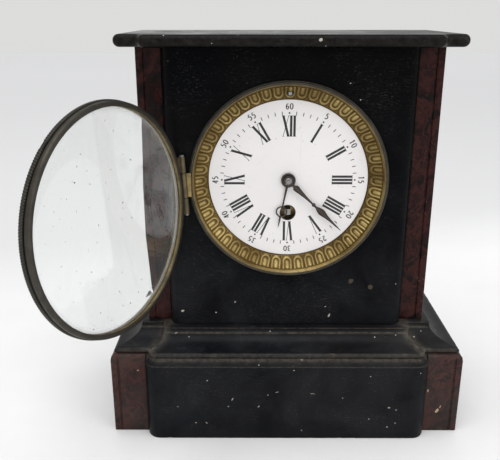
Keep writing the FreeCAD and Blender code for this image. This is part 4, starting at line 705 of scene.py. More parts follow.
GROOVE_WIDTH, GROOVE_DEPTH, GROOVE_INSET = 1.4, 0.7, 4.6
MARBLE_BEVEL = 2.3
for seed, side in enumerate(("left", "right")):
    sign = 1 if side == "right" else -1
    node = "marble_strip_" + side
    low, high = box_mm(node)
    outer = high[0] if sign > 0 else low[0]
    groove = (outer - sign * GROOVE_INSET, GROOVE_WIDTH, GROOVE_DEPTH, -1.0)
    grids, marks = worn_block(low, high, 0.5, 4.0, 0.35, 11 + seed, groove=groove)
    make_piece("marble_strip_block_" + side, grids, red_marble, [node], marks=marks)
    node = "base_marble_" + side
    low, high = box_mm(node)
    outer = high[0] if sign > 0 else low[0]
    groove = (outer - sign * GROOVE_INSET, GROOVE_WIDTH, GROOVE_DEPTH, MARBLE_BEVEL + GROOVE_DEPTH)
    planes = [bevel_plane((0, -1, 1), (0, low[1], high[2]), MARBLE_BEVEL),
              bevel_plane((sign, 0, 1), (outer, 0, high[2]), MARBLE_BEVEL)]
    grids, marks = worn_block(low, high, 0.6, 3.0, 0.6, 21 + seed, planes, groove)
    make_piece("marble_base_block_" + side, grids, dusty_marble, [node], marks=marks)
    node = "side_wall_" + side
    grids, marks = worn_block(*box_mm(node), 0.6, 6.0, 0.4, 31 + seed)
    make_piece("slate_side_" + side, grids, slate_plain, [node], marks=marks)
    node = "base_side_" + side
    low, high = box_mm(node)
    outer = high[0] if sign > 0 else low[0]
    planes = [bevel_plane((sign, 0, 1), (outer, 0, high[2]), MARBLE_BEVEL)]
    grids, marks = worn_block(low, high, 0.6, 5.0, 0.7, 41 + seed, planes)
    make_piece("slate_base_side_" + side, grids, slate_plain, [node], marks=marks)
grids, marks = worn_block(*box_mm("base_back"), 0.7, 6.0, 0.6, 51)
make_piece("slate_base_back", grids, slate_plain, ["base_back"], marks=marks)

# %% [markdown]
# ## The base's front block
# The lowest block stands forward between the marble. Its upright corners are round and its top edge has a
# wide bevel that has worn paler than the rest, so the bevel's rows are marked as wear; the marks are
# strongest at the bevel's top edge, a painted highlight there.

# %% Base front
low, high = box_mm("base_front")
BASE_BEVEL = 3.6
base_corners = [(high[0], high[1]), (low[0], high[1]), (low[0], low[1]), (high[0], low[1])]
base_line = outline(base_corners, [0.8, 0.8, panel_break - 0.05, panel_break - 0.05])
forward = np.clip((low[1] + panel_break + 1.5 - base_line[:, 1]) / 3.0, 0, 1)
rows = [(0.8, low[2]), (0.25, low[2] + 0.2), (0.0, low[2] + 0.8), (0.0, low[2] + 14.0),
        (0.0, low[2] + 30.0), (0.0, high[2] - BASE_BEVEL * 1.15), (0.12 * forward, high[2] - BASE_BEVEL),
        (0.55 * forward, high[2] - BASE_BEVEL * 0.87),
        (BASE_BEVEL * 0.5 * forward, high[2] - BASE_BEVEL * 0.5),
        (BASE_BEVEL * 0.9 * forward, high[2] - BASE_BEVEL * 0.08),
        ((BASE_BEVEL + 0.4) * forward + 0.3, high[2])]
rows = [(np.broadcast_to(inset, len(base_line)), height) for inset, height in rows]
grid, marks = puck(base_line, rows[::-1], chip=0.45, seed=61, edge_rows=(0, 1, 2, 3, 4, 9, 10))
depth, rise = [grid[0][:, i].reshape(marks.shape) for i in (1, 2)]
at_bevel = (rise > high[2] - BASE_BEVEL) & (depth < low[1] + 7)
bevel_rise = (rise - high[2] + BASE_BEVEL) / BASE_BEVEL
# On the bevel the mark grows as the cube of its height: the worn paler bevel, brightest at its top edge as a
# painted highlight.
marks = np.where(at_bevel, np.clip(bevel_rise, 0, 1) ** 3, marks)
make_piece("slate_base_front", [grid], slate_base, ["base_front"], marks=[marks])

# %% [markdown]
# ## The coved waist
# Between body and base runs a moulding: a thin ledge and bead at the top, a hollow curve, and a rounded lip
# at the foot. It follows two plan lines, one at its top and one at its foot, with the same corners, so
# blending from one line to the other mitres every corner by itself. It was cut in three lengths, and brown
# dust has gathered along their joints.

# %% Waist moulding
waist_low, waist_high = box_mm("waist_moulding_front")
base_low, base_high = box_mm("base_marble_right")
LEDGE = 3.8
LIP = 3.3
top_z, foot_z = waist_high[2], waist_low[2]
outer_face = strip_low[1] - LEDGE
top_corners = {"corner": (body_half + LEDGE, outer_face), "inner": (panel_half + LEDGE, outer_face),
               "nose": (panel_half + LEDGE, SLATE_FACE - LEDGE), "back": (body_half + LEDGE, case_back)}
foot_half = base_high[0] - MARBLE_BEVEL
foot_corners = {"corner": (foot_half, base_low[1] + MARBLE_BEVEL),
                "inner": (low[0] * -1 - MARBLE_BEVEL, base_low[1] + MARBLE_BEVEL),
                "nose": (low[0] * -1 - MARBLE_BEVEL, low[1] + BASE_BEVEL), "back": (foot_half, case_back)}
BEAD = 1.5
cove = np.linspace(0, math.pi / 2, 14)
hollow_low = foot_z + LIP
across = np.concatenate([[-0.55, -0.06, 0.0, 0.035, 0.03, -0.01, -0.035, -0.012], 0.86 * (1 - np.cos(cove)),
                         [0.90, 0.955, 0.99, 1.0, 0.99, 0.965, 0.93, -0.55]])
fall = np.concatenate([[0.0, 0.0, 0.06, 0.3, 0.55, 0.75, 0.95, 1.15],
                       BEAD + (top_z - BEAD - hollow_low) * np.sin(cove)])
lip_fall = top_z - foot_z - LIP * np.array([0.97, 0.90, 0.74, 0.5, 0.3, 0.12, 0.0, 0.0])
heights = top_z - np.concatenate([fall, lip_fall])


def waist_length(names, mirrored, radii_top, radii_foot, inside=0.55):
    """One length of moulding: plan points blend from the top line to the foot line as across goes 0 to 1.
    inside is how far the length's flat back lies behind the top line, as a share of the same distance."""
    reach = across.copy()
    reach[[0, -1]] = -inside
    lines = []
    for places, radii in ((top_corners, radii_top), (foot_corners, radii_foot)):
        corners = [(places[n][0] * s, places[n][1]) for n, s in zip(names, mirrored)]
        lines.append(outline(corners, radii, 1e9, closed=False))
    top, foot = lines
    dense = []
    for line in (top, foot):
        runs = np.linalg.norm(np.diff(top, axis=0), axis=1)
        counts = np.maximum(1, (runs / 2.5).astype(int))
        dense.append(np.concatenate([a + (b - a) * np.arange(n)[:, None] / n
                                     for a, b, n in zip(line, line[1:], counts)] + [line[-1:]]))
    top, foot = dense
    plan = top[None] + (foot - top)[None] * reach[:, None, None]
    ring = np.dstack([plan, np.broadcast_to(heights[:, None], plan.shape[:2])])
    loss = chipped(ring, 0.5, 71) * (across > 0.9)[:, None]
    ring[..., 2] += loss * 0.5
    ends = []
    for e in (0, -1):
        flat = np.column_stack([ring[[0], e, :2].repeat(len(ring), 0), ring[:, e, 2]])
        ends.append(np.stack([ring[:, e], flat], 1))
    # Pale lines at the bead's top edge (0.8) and the lip's nose (0.3) are edge wear and painted highlight
    # together; the dust at the mitres and the chips are real.
    marks = 0.3 * (np.abs(across - 0.98) < 0.04)[:, None] + 0.8 * (np.abs(across - 0.03) < 0.015)[:, None]
    seam = top_corners["inner"][0] + across * (foot_corners["inner"][0] - top_corners["inner"][0])
    dusty = np.exp(-((np.abs(ring[..., 0]) - seam[:, None] + 1.0) / 2.6) ** 2) * (names[0] == "corner")
    marks = np.clip(marks + dusty * 0.75 + loss, 0, 1)
    blank = np.zeros((len(ring), 2))
    return ([closed_grid(ring, True, False)] + [closed_grid(e, False, False) for e in ends],
            [marks, blank, blank])


front_names = ["corner", "inner", "nose", "nose", "inner", "corner"]
front_signs = [-1, -1, -1, 1, 1, 1]
grids, marks = waist_length(front_names, front_signs, [0, 1.2, 2.6, 2.6, 1.2, 0],
                            [0, 2.0, 5.0, 5.0, 2.0, 0])
make_piece("slate_waist_front", grids, slate_waist, ["waist_moulding_front"], marks=marks)
side_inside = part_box("waist_moulding_right")[0].x / MM
side_share = (top_corners["corner"][0] - side_inside) / (foot_corners["corner"][0] - top_corners["corner"][0])
for side, sign in (("left", -1), ("right", 1)):
    names = ["back", "corner"]
    grids, marks = waist_length(names, [sign, sign], [0, 0], [0, 0], side_share)
    make_piece("slate_waist_" + side, grids, slate_waist, ["waist_moulding_" + side],
               marks=marks)

# %% [markdown]
# ## The gilt ring
# Between the dial and the door's seat runs a stamped ring that slopes in to the dial: 48 round-ended
# tongues, each with a raised border and a raised oval in it, small darts between their feet and two plain
# beads at the rim. The surface is a cone whose height is lifted by a relief function, and the relief is
# written into the mesh so that the gilt is painted dark in the hollows as painted shade and bright on the
# ridges as painted highlight.

# %% Gilt ring
ring_low, ring_high = box_mm("sight_ring")
RING_OUTER = ring_high[0]
RING_INNER = 46.5
TONGUES = 48
RING_FACE = ring_low[1]
RING_DIAL_EDGE = DIAL_FACE - 0.85


def ridge(distance, width):
    """A soft ridge: 1 on the line, falling as exp(-(distance / width) squared)."""
    return np.exp(-((distance / width) ** 2))


def tongue_relief(radius, turn):
    """Height of the stamping in millimetres at a radius and an angle in turns: a sum of soft ridges, of
    which the tallest, the tongue's border, is set at 0.72."""
    pitch = 2 * math.pi * radius / TONGUES
    across = ((turn * TONGUES + 0.5) % 1 - 0.5) * pitch
    between = (turn * TONGUES % 1 - 0.5) * pitch
    foot = 50.35
    in_ring = np.clip((54.2 - radius) / 0.5, 0, 1)
    border = np.hypot(across, np.minimum(radius - foot, 0)) - 2.3
    oval = np.hypot(across, radius - np.clip(radius, 50.7, 52.9)) - 0.25
    height = 0.72 * ridge(border, 0.5) * in_ring
    height += 0.70 * ridge(oval, 0.75) * in_ring
    height += 0.24 * ridge(between, 0.30) * ridge(radius - 48.1, 0.75)
    height += 0.14 * ridge(radius - 47.35, 0.28)
    height += 0.30 * ridge(radius - 54.75, 0.30) + 0.62 * ridge(radius - 55.45, 0.34)
    return height


turns = np.arange(TONGUES * 28) / (TONGUES * 28)
radii = np.concatenate([np.linspace(RING_INNER, 48.0, 9)[:-1], np.linspace(48.0, 54.2, 34)[:-1],
                        np.linspace(54.2, RING_OUTER, 13)])
share = (radii - RING_INNER) / (RING_OUTER - RING_INNER)
slope = RING_DIAL_EDGE + (RING_FACE - RING_DIAL_EDGE) * share ** 1.12
relief = tongue_relief(radii[:, None], turns[None, :])
depth = slope[:, None] + 0.45 - relief * 0.85
shade_noise_places = np.dstack(np.broadcast_arrays(radii[:, None], turns[None] * 300, 0.0))
# The relief becomes the mark: ridges are painted bright as painted highlight, hollows dark as painted shade.
worn_and_painted_light = np.clip(relief / 0.6, 0, 1) * (0.6 + 0.4 * lumps(shade_noise_places, 9.0, 5))
back = [(RING_OUTER, RING_FACE + 1.2), (RING_INNER + 1.8, DIAL_FACE - 0.05), (RING_INNER, DIAL_FACE - 0.05)]
all_radii = np.concatenate([radii, [b[0] for b in back]])[:, None] * np.ones_like(turns)[None]
all_depths = np.concatenate([depth, [np.full(len(turns), b[1]) for b in back]])
ring_points = np.dstack([all_radii * np.sin(2 * np.pi * turns), all_depths,
                         DIAL_HEIGHT + all_radii * np.cos(2 * np.pi * turns)])
worn_and_painted_light = np.concatenate([np.clip(worn_and_painted_light, 0, 1), np.zeros((len(back), len(turns)))])
make_piece("gilt_tongue_ring", [closed_grid(ring_points, True, True)], gilt, ["sight_ring"],
           marks=[worn_and_painted_light], sharp=60)


# %% [markdown]
# The regulator's hole at the top of the ring is a dark cup with the square of its arbor in it. It is a
# small turned eyelet that stands a little out of the stamping.

# %% Turned rings
def turned(profile, face=0.0, steps=60, height=None):
    """A surface turned about a line along Y: each (radius, depth) goes once round at y = face + depth."""
    height = DIAL_HEIGHT if height is None else height
    profile = np.asarray(profile, float)
    turn = np.linspace(0, 2 * math.pi, steps, endpoint=False)
    radius, depth = profile[:, :1], profile[:, 1:]
    return np.dstack([radius * np.sin(turn), face + depth + 0 * turn, height + radius * np.cos(turn)])


REGULATOR_RISE = 50.2
eyelet_z = DIAL_HEIGHT + REGULATOR_RISE
mid = RING_FACE + (RING_DIAL_EDGE - RING_FACE) * 0.62
eyelet = turned([(1.05, 1.6), (1.05, -0.25), (1.25, -0.45), (1.6, -0.4), (1.75, -0.1), (1.75, 1.6)],
                mid, 40, eyelet_z)
make_piece("regulator_eyelet", [closed_grid(eyelet, True, True)], patina)

# %% [markdown]
# ## The glass door
# The door is a turned brass rim: a coin-edged band outside, a groove, a smooth band, and an inner wall that
# kept its yellow gilding. It is drawn shut, then turned on its hinge to where it stands. The coin edge is a
# wave in the radius of the outer rows, 270 times round.

# %% Door rim, knuckles and glass
door_joint = [j for j in frame["joints"] if j["name"] == "door_hinge"][0]
HINGE = np.array(door_joint["pos_m"]) / MM
AXIS = np.array(door_joint["axis"], float)
AXIS /= np.linalg.norm(AXIS)
OPEN = math.radians(door_joint["range_deg"][1])
DOOR_HEIGHT = HINGE[2]
DOOR_RADIUS = -HINGE[0]
KNURLS, KNURL_DEPTH = 270, 0.32
DENT_PLACE, DENT_WIDTH, DENT_DEPTH = 36.0, 1.3, 0.9
BARREL_REACH, BARREL_CLEAR = 7.8, 2.1


def swung(points):
    """Turn points of the shut door about the hinge line to where it stands: arm * cos + (axis x arm) * sin +
    (part of arm along the axis) * (1 - cos), with arm the way from the hinge to the point."""
    c, s = math.cos(-OPEN), math.sin(-OPEN)
    arm = points - HINGE
    along = (arm @ AXIS)[..., None] * AXIS
    return HINGE + arm * c + np.cross(AXIS, arm) * s + along * (1 - c)


rear = HINGE[1]
inner = DOOR_RADIUS - 3.4
skirt, groove_r = DOOR_RADIUS - 0.7, DOOR_RADIUS - 1.3
rim_profile = [(inner + 0.3, 0), (inner + 0.5, 0), (skirt - 0.9, 0), (skirt - 0.25, -0.25), (skirt, -0.8),
               (skirt, -2.4), (skirt - 0.15, -2.8), (groove_r, -2.95), (groove_r, -3.35)]
rim_profile += [(DOOR_RADIUS - inset, -rise) for inset, rise in
                ((0.25, 3.4), (0, 3.6), (0, 4.5), (0, 5.3), (0.35, 5.7), (0.9, 6.05), (1.8, 6.1))]
rim_profile += [(inner + inset, -rise) for inset, rise in
                ((0.7, 6.0), (0.15, 5.7), (0, 5.2), (0, 4.35), (0.95, 4.35), (0.95, 2.75), (0, 2.75),
                 (0, 1.2), (0.05, 0.3))]
knurled = np.isin(np.arange(len(rim_profile)), (10, 11, 12, 13))
rim = turned(rim_profile, rear, KNURLS * 6, DOOR_HEIGHT)
place = np.arange(KNURLS * 6)
wave = 0.5 - 0.5 * np.cos(place / 6 * 2 * math.pi)
dent = ridge((place / (KNURLS * 6) - DENT_PLACE / 360) * 360, DENT_WIDTH) * DENT_DEPTH
radial = np.stack([rim[..., 0], np.zeros(rim.shape[:2]), rim[..., 2] - DOOR_HEIGHT], -1)
radial /= np.linalg.norm(radial, axis=-1, keepdims=True)
rim -= radial * ((KNURL_DEPTH * wave + dent) * knurled[:, None])[..., None]
gilded = np.isin(np.arange(len(rim_profile)), (18, 19, 23)) * 0.72 + 0.04
gilded = gilded[:, None] * np.ones(KNURLS * 6) - 0.1 * wave * knurled[:, None]
above = rim[..., 2] - DOOR_HEIGHT
line_x = HINGE[0] + above * AXIS[0] / AXIS[2]
from_line = np.hypot(rim[..., 0] - line_x, rim[..., 1] - HINGE[1])
near_pin = (np.abs(above) < BARREL_REACH) & (from_line < BARREL_CLEAR)
rim[..., 0] = np.where(near_pin, np.maximum(rim[..., 0], line_x + BARREL_CLEAR), rim[..., 0])
make_piece("door_knurled_rim", [closed_grid(swung(rim), True, True)], patina, ["door_rim"], "door",
           [np.clip(gilded, 0, 1)], 50)


def knuckle(z0, z1, radius=1.7, flare=0.15):
    """A hinge barrel: a tube turned about the leaning hinge line, with softened ends."""
    turn = np.linspace(0, 2 * math.pi, 28, endpoint=False)[:, None]
    across = np.cross(AXIS, (0.0, 1.0, 0.0))
    around = across * np.cos(turn) + np.array((0.0, 1.0, 0.0)) * np.sin(turn)
    rows = [(0.85, z0), (radius - flare, z0), (radius, z0 + flare), (radius, (z0 + z1) / 2),
            (radius, z1 - flare), (radius - flare, z1), (0.85, z1)]
    return np.array([HINGE + around * r + AXIS * z for r, z in rows])


KNUCKLE_MIDDLE, KNUCKLE_IN, KNUCKLE_OUT = 7.25, 7.55, 17.05
LEAF_SHORT = 0.3
grids = []
for z0, z1 in ((KNUCKLE_IN, KNUCKLE_OUT), (-KNUCKLE_OUT, -KNUCKLE_IN)):
    grids.append(closed_grid(swung(knuckle(z0, z1)), True, True))
    leaf = worn_block((HINGE[0] + 0.9, HINGE[1] - 1.5, DOOR_HEIGHT + z0 + LEAF_SHORT),
                      (HINGE[0] + 3.3, HINGE[1] - 0.05, DOOR_HEIGHT + z1 - LEAF_SHORT), 0.2, 3.0, 0.1,
                      81)[0]
    grids += [(swung(points), quads) for points, quads in leaf]
marks = [np.full(len(points), 0.22) for points, quads in grids]
make_piece("door_knuckles", grids, patina, [], "door", marks)

glass_radius = inner + 0.85
glass_back, glass_front = -2.8, -4.3
glass_profile = [(0.0, glass_back), (glass_radius * 0.5, glass_back), (glass_radius, glass_back),
                 (glass_radius, glass_back - 0.9), (glass_radius - 5.0, glass_front),
                 (glass_radius * 0.5, glass_front), (0.0, glass_front)]
glass = swung(turned(glass_profile, rear, 180, DOOR_HEIGHT))
# The bevel's outer row is marked 1, so the glass finish paints it near-white there as a painted highlight.
bevel_highlight_marks = np.array([0, 0, 0, 1.0, 0, 0, 0])[:, None] * np.ones(glass.shape[1])
make_piece("door_bevelled_glass", [closed_grid(glass)], clear_glass, ["door_glass"], "door",
           [bevel_highlight_marks], 8)

# %% [markdown]
# The fixed rim on the slate is a turned ring with two fine beads. It laps over the gilt ring's edge, and
# its tube goes into the case. The hinge's middle barrel belongs to it, on a leaf that kept some of its
# gilding.

# %% Fixed rim
rim_out = tube_high[0]
TUBE_IN, TUBE_OUT, TUBE_LONG = 54.2, 55.0, 10.0
bezel_profile = [(rim_out - inset, -rise) for inset, rise in
                 ((0, 0), (0, 1.5), (0.25, 2.0), (0.5, 2.1), (0.65, 2.75), (0.95, 3.1), (1.3, 3.15),
                  (1.6, 2.95), (1.85, 3.1), (2.2, 3.1), (2.45, 2.85), (2.5, 2.45), (1.55, 2.35),
                  (1.55, 0.6))]
bezel_profile += [(TUBE_IN, 0.4), (TUBE_IN, TUBE_LONG), (TUBE_OUT, TUBE_LONG), (TUBE_OUT, 0)]
bezel_marks = np.array([0, 0.0, 0.12, 0.0, 0.0, 0.05, 0.1, 0.0, 0.0, 0.3, 0.9, 0.2, 0.0, 0, 0, 0, 0, 0.0])
bezel = turned(bezel_profile, SLATE_FACE, 360)
leaf, leaf_marks = worn_block((HINGE[0] + 0.3, HINGE[1] + 0.35, DOOR_HEIGHT - KNUCKLE_MIDDLE + LEAF_SHORT),
                              (-rim_out + 1.6, HINGE[1] + 1.75, DOOR_HEIGHT + KNUCKLE_MIDDLE - LEAF_SHORT),
                              0.2, 3.0, 0.1, 82)
barrel = knuckle(-KNUCKLE_MIDDLE, KNUCKLE_MIDDLE)
grids = [closed_grid(bezel, True, True), closed_grid(barrel, True, True)] + leaf
marks = [bezel_marks[:, None] * np.ones(360), np.full(barrel.shape[:2], 0.25)]
marks += [0.7 + 0 * m for m in leaf_marks]
make_piece("bezel_beaded_rim", grids, patina, ["bezel_ring"], marks=marks)

# %% [markdown]
# ## Printing the dial
# Roman hours stand on the dial with their tops outwards, in thick and thin strokes like a broad pen's. A
# stroke is a thin slab between two points whose width is given; the hours are lists of such strokes, spaced
# by their widths and then turned to their place. Every mark is a hair in front of the enamel.

# %% Strokes
INK_DEPTH = 0.05


def slab_strokes(ends, widths, turn):
    """Closed bars from strokes [n, 2 ends, (x, z)] and widths, turned clockwise about the dial's middle."""
    ends, widths = np.asarray(ends, float), np.asarray(widths, float)
    along = ends[:, 1] - ends[:, 0]
    along /= np.linalg.norm(along, axis=1, keepdims=True)
    side = np.stack([along[:, 1], -along[:, 0]], 1) * widths[:, None] / 2
    flat = np.stack([ends[:, 0] - side, ends[:, 0] + side, ends[:, 1] + side, ends[:, 1] - side], 1)
    c, s = np.cos(turn), np.sin(turn)
    c, s = np.broadcast_to(c, len(ends))[:, None], np.broadcast_to(s, len(ends))[:, None]
    x, z = flat[..., 0] * c + flat[..., 1] * s, -flat[..., 0] * s + flat[..., 1] * c
    front = np.stack([x, np.full(x.shape, DIAL_FACE - INK_DEPTH), z + DIAL_HEIGHT], -1)
    rear_face = front + (0, INK_DEPTH + 0.02, 0)
    points = np.concatenate([front, rear_face], 1).reshape(-1, 3)
    box = np.array([[0, 1, 2, 3], [7, 6, 5, 4], [0, 4, 5, 1], [1, 5, 6, 2], [2, 6, 7, 3], [3, 7, 4, 0]])
    return points, (box[None] + np.arange(len(ends))[:, None, None] * 8).reshape(-1, 4)


NUMERAL_LOW, NUMERAL_HIGH = 25.6, 37.4
THICK, THIN = 1.35, 0.3
LETTERS = {"I": (1.95, [((0.0, 0.0), (0.0, 1.0), THICK)]),
           "V": (4.1, [((-1.45, 1.0), (-0.1, 0.0), THICK), ((1.35, 1.0), (0.25, 0.0), THIN)]),
           "X": (4.1, [((-1.5, 1.0), (1.5, 0.0), THICK), ((1.5, 1.0), (-1.5, 0.0), THIN)])}
HOURS = ["XII", "I", "II", "III", "IIII", "V", "VI", "VII", "VIII", "IX", "X", "XI"]
ends, widths, turns_of = [], [], []
tall = NUMERAL_HIGH - NUMERAL_LOW
for hour, word in enumerate(HOURS):
    total = sum(LETTERS[c][0] for c in word)
    x = -total / 2
    for letter in word:
        wide, strokes = LETTERS[letter]
        for (x0, z0), (x1, z1), width in strokes:
            middle = x + wide / 2
            ends.append([(middle + x0, NUMERAL_LOW + z0 * tall), (middle + x1, NUMERAL_LOW + z1 * tall)])
            widths.append(width)
            turns_of.append(hour * math.pi / 6)
            for px, pz in ((x0, z0), (x1, z1)):
                reach = width / 2 + 0.32
                height = NUMERAL_LOW + pz * tall
                ends.append([(middle + px - reach, height), (middle + px + reach, height)])
                widths.append(0.2)
                turns_of.append(hour * math.pi / 6)
        x += wide
make_piece("hour_numerals", [slab_strokes(ends, widths, np.array(turns_of))], ink)

# %% [markdown]
# The minutes are short hairlines, with a dot instead at every fifth, and small figures outside them. The
# figures are drawn as a broad nib would: a smooth line through a few points, wide where it runs up and down
# and thin where it runs across.

# %% Minute marks and figures
minutes = np.array([m for m in range(60) if m % 5])
ends = np.tile([[(0.0, 37.8), (0.0, 39.9)]], (len(minutes), 1, 1))
ticks = slab_strokes(ends, np.full(len(minutes), 0.42), minutes * math.pi / 30)
fives = np.arange(12)
ends = np.tile([[(0.0, 38.45), (0.0, 39.35)]], (12, 1, 1))
dots = slab_strokes(ends, np.full(12, 0.9), fives * math.pi / 6)
make_piece("minute_ridge_highlight", [ticks, dots], ink)

FIGURE_HEIGHT, FIGURE_WIDTH, FIGURE_PITCH, FIGURE_RISE = 3.3, 1.7, 2.35, 41.0
FIGURES = {"0": [(0.5, 1), (0.12, 0.8), (0.08, 0.3), (0.5, 0), (0.9, 0.3), (0.88, 0.8), (0.5, 1)],
           "1": [(0.25, 0.78), (0.5, 1), (0.5, 0.6), (0.5, 0.3), (0.5, 0)],
           "2": [(0.12, 0.75), (0.35, 1), (0.8, 0.85), (0.75, 0.55), (0.4, 0.25), (0.1, 0.02), (0.9, 0.04)],
           "3": [(0.15, 0.9), (0.5, 1), (0.82, 0.78), (0.45, 0.54), (0.88, 0.3), (0.5, 0), (0.12, 0.14)],
           "4": [(0.95, 0.3), (0.05, 0.3), (0.4, 0.65), (0.7, 1), (0.7, 0.5), (0.7, 0)],
           "5": [(0.85, 1), (0.3, 0.98), (0.22, 0.58), (0.6, 0.64), (0.9, 0.32), (0.5, 0), (0.12, 0.12)],
           "6": [(0.82, 0.9), (0.4, 0.9), (0.1, 0.45), (0.4, 0), (0.88, 0.22), (0.7, 0.55), (0.2, 0.42)]}


def nib_line(points, left):
    """Strokes along a smooth line: a cubic from each point to the next, whose slope at a point is half the
    way from its one neighbour to its other."""
    p = np.asarray(points, float) * (FIGURE_WIDTH, FIGURE_HEIGHT) + (left, 0)
    p = np.concatenate([p[:1] * 2 - p[1:2], p, p[-1:] * 2 - p[-2:-1]])
    t = np.linspace(0, 1, 5)[None, :-1, None]
    a, b, c, d = p[:-3, None], p[1:-2, None], p[2:-1, None], p[3:, None]
    line = 0.5 * (2 * b + (c - a) * t + (2 * a - 5 * b + 4 * c - d) * t**2 + (3 * b - a - 3 * c + d) * t**3)
    line = np.concatenate([line.reshape(-1, 2), p[-2:-1]])
    return np.stack([line[:-1], line[1:]], 1)


ends, widths, turns_of = [], [], []
for five in range(1, 13):
    word = str(five * 5)
    for place, figure in enumerate(word):
        strokes = nib_line(FIGURES[figure], (place - len(word) / 2) * FIGURE_PITCH + 0.3)
        run = strokes[:, 1] - strokes[:, 0]
        upright = np.abs(run[:, 1]) / np.linalg.norm(run, axis=1)
        ends.append(strokes + (0, FIGURE_RISE))
        widths.append(0.24 + 0.38 * upright)
        turns_of.append(np.full(len(strokes), five * math.pi / 6))
figures = slab_strokes(np.concatenate(ends), np.concatenate(widths), np.concatenate(turns_of))
make_piece("minute_figures", [figures], ink)

# %% [markdown]
# The winding hole is lined with a thin turned eyelet, dark inside, whose brass shows at its lip.

# %% Winding eyelet
WINDING_DROP = 20.0
WINDING_Z = DIAL_HEIGHT - WINDING_DROP
eyelet = turned([(4.2, 2.2), (4.2, 0.02), (4.45, -0.14), (4.72, -0.1), (4.8, 0), (4.55, 0.1),
                 (4.55, 2.2)], DIAL_FACE, 72, WINDING_Z)
make_piece("winding_eyelet", [closed_grid(eyelet, True, True)], patina)

# %% [markdown]
# ## The hands
# The hands are filed from steel: a faceted back that slopes from a middle ridge to thin edges. The blade is
# a grid whose rows run along it and whose columns run across, with the half width read from a short table
# and the height falling from ridge to edge. The hubs are turned. The ridges, the hubs' fronts and the hour
# hand's ring are painted paler as a painted highlight.


# %% Hands
def blade(table, length, face, thick, turn, samples=90):
    """Blade from (place, half width) shares of its length. Its front is a ridge: full thickness in the
    middle, 0.7 of it half way to the edge, 0.35 just inside the edge and none at the edge."""
    table = np.asarray(table)
    s = np.linspace(table[0, 0], table[-1, 0], samples)
    half = np.interp(s, table[:, 0], table[:, 1]) * length
    u = np.array([-1, -0.96, -0.5, 0, 0.5, 0.96, 1, 0.96, 0.5, 0, -0.5, -0.96])
    front = np.array([0, 0.35, 0.7, 1, 0.7, 0.35, 0, -0.1, -0.1, -0.1, -0.1, -0.1])
    x = half[:, None] * u[None]
    z = np.broadcast_to((s * length)[:, None], x.shape)
    y = face + thick - np.broadcast_to(front, x.shape) * thick
    rows = np.dstack([x, y, z])
    tips = [np.broadcast_to(rows[e].mean(0), rows[e].shape)[None] for e in (0, -1)]
    rows = np.concatenate([tips[0], rows, tips[1]])
    # The marks paint the ridge paler than the edges as a painted highlight.
    return closed_grid(about_dial(rows, turn)), np.tile(np.clip(front, 0, 1) ** 3, (len(rows), 1))


def about_dial(points, turn):
    """Turn points drawn about twelve o'clock clockwise by an angle, and lift them to the dial's height."""
    c, s = math.cos(turn), math.sin(turn)
    x, z = points[..., 0], points[..., 2]
    return np.stack([x * c + z * s, points[..., 1], -x * s + z * c + DIAL_HEIGHT], -1)


minute_low = box_mm("minute_hand")[0]
hour_low = box_mm("hour_hand")[0]
SHOWN_MINUTES = 22.3
MINUTE_TURN = SHOWN_MINUTES / 60 * 2 * math.pi
HOUR_TURN = (6 + SHOWN_MINUTES / 60) / 12 * 2 * math.pi
THICKNESS = 0.5
MINUTE_LENGTH, HOUR_LENGTH, HOUR_EYE = 43.5, 29.5, 19.5
minute_table = [(0.05, 0.02), (0.115, 0.021), (0.128, 0.043), (0.16, 0.042), (0.22, 0.032), (0.32, 0.021),
                (0.44, 0.0125), (0.455, 0.013), (0.468, 0.024), (0.48, 0.027), (0.492, 0.024),
                (0.503, 0.014), (0.53, 0.016), (0.575, 0.034), (0.62, 0.047), (0.655, 0.043), (0.72, 0.028),
                (0.8, 0.019), (0.9, 0.012), (1.0, 0.004)]
minute_blade, minute_ridge_highlight = blade(minute_table, MINUTE_LENGTH, minute_low[1], THICKNESS, MINUTE_TURN)
hub = turned([(1.1, 0), (2.2, -0.05), (2.75, 0.1), (2.9, 0.3), (2.9, 0.5), (1.1, 0.5)], minute_low[1])
# The hub's front rings are painted paler as a painted highlight.
hub_highlight_marks = np.array([0.5, 0.6, 0.8, 0.2, 0.0, 0.0])[:, None] * np.ones(60)
make_piece("minute_spade_hand", [minute_blade, closed_grid(hub, True, True)], blackened, ["minute_hand"],
           "minute_arbor", [minute_ridge_highlight, hub_highlight_marks], 30)

hour_table = [(0.10, 0.024), (0.2, 0.021), (0.45, 0.015), (0.55, 0.015)]
tip_table = [(0.765, 0.017), (0.80, 0.018), (0.88, 0.014), (1.0, 0.004)]
stem, stem_ridge_highlight = blade(hour_table, HOUR_LENGTH, hour_low[1], THICKNESS, HOUR_TURN, 30)
tip, tip_ridge_highlight = blade(tip_table, HOUR_LENGTH, hour_low[1], THICKNESS, HOUR_TURN, 30)
eye = turned([(2.65, 0.5), (2.65, 0.2), (2.9, 0), (3.2, 0), (3.45, 0.2), (3.45, 0.5)], hour_low[1],
             height=HOUR_EYE)
hub = turned([(2.6, 0.1), (3.2, -0.05), (3.9, -0.05), (4.3, 0.15), (4.3, 0.5), (2.6, 0.5)], hour_low[1])
# The ring's and the hub's front rings are painted paler as a painted highlight.
eye_highlight_marks = np.array([0, 0.3, 0.8, 0.8, 0.3, 0.0])[:, None] * np.ones(60)
make_piece("hour_ring_hand", [stem, tip, closed_grid(about_dial(eye, HOUR_TURN), True, True),
                              closed_grid(hub, True, True)], blackened, ["hour_hand"], "hour",
           [stem_ridge_highlight, tip_ridge_highlight, eye_highlight_marks, eye_highlight_marks], 30)

# %% [markdown]
# ## Dressing the measured pieces
# The movement, the dial, the plates and the back door keep their measured shapes and only take a finish.
# A short table says which finish each record slot has.

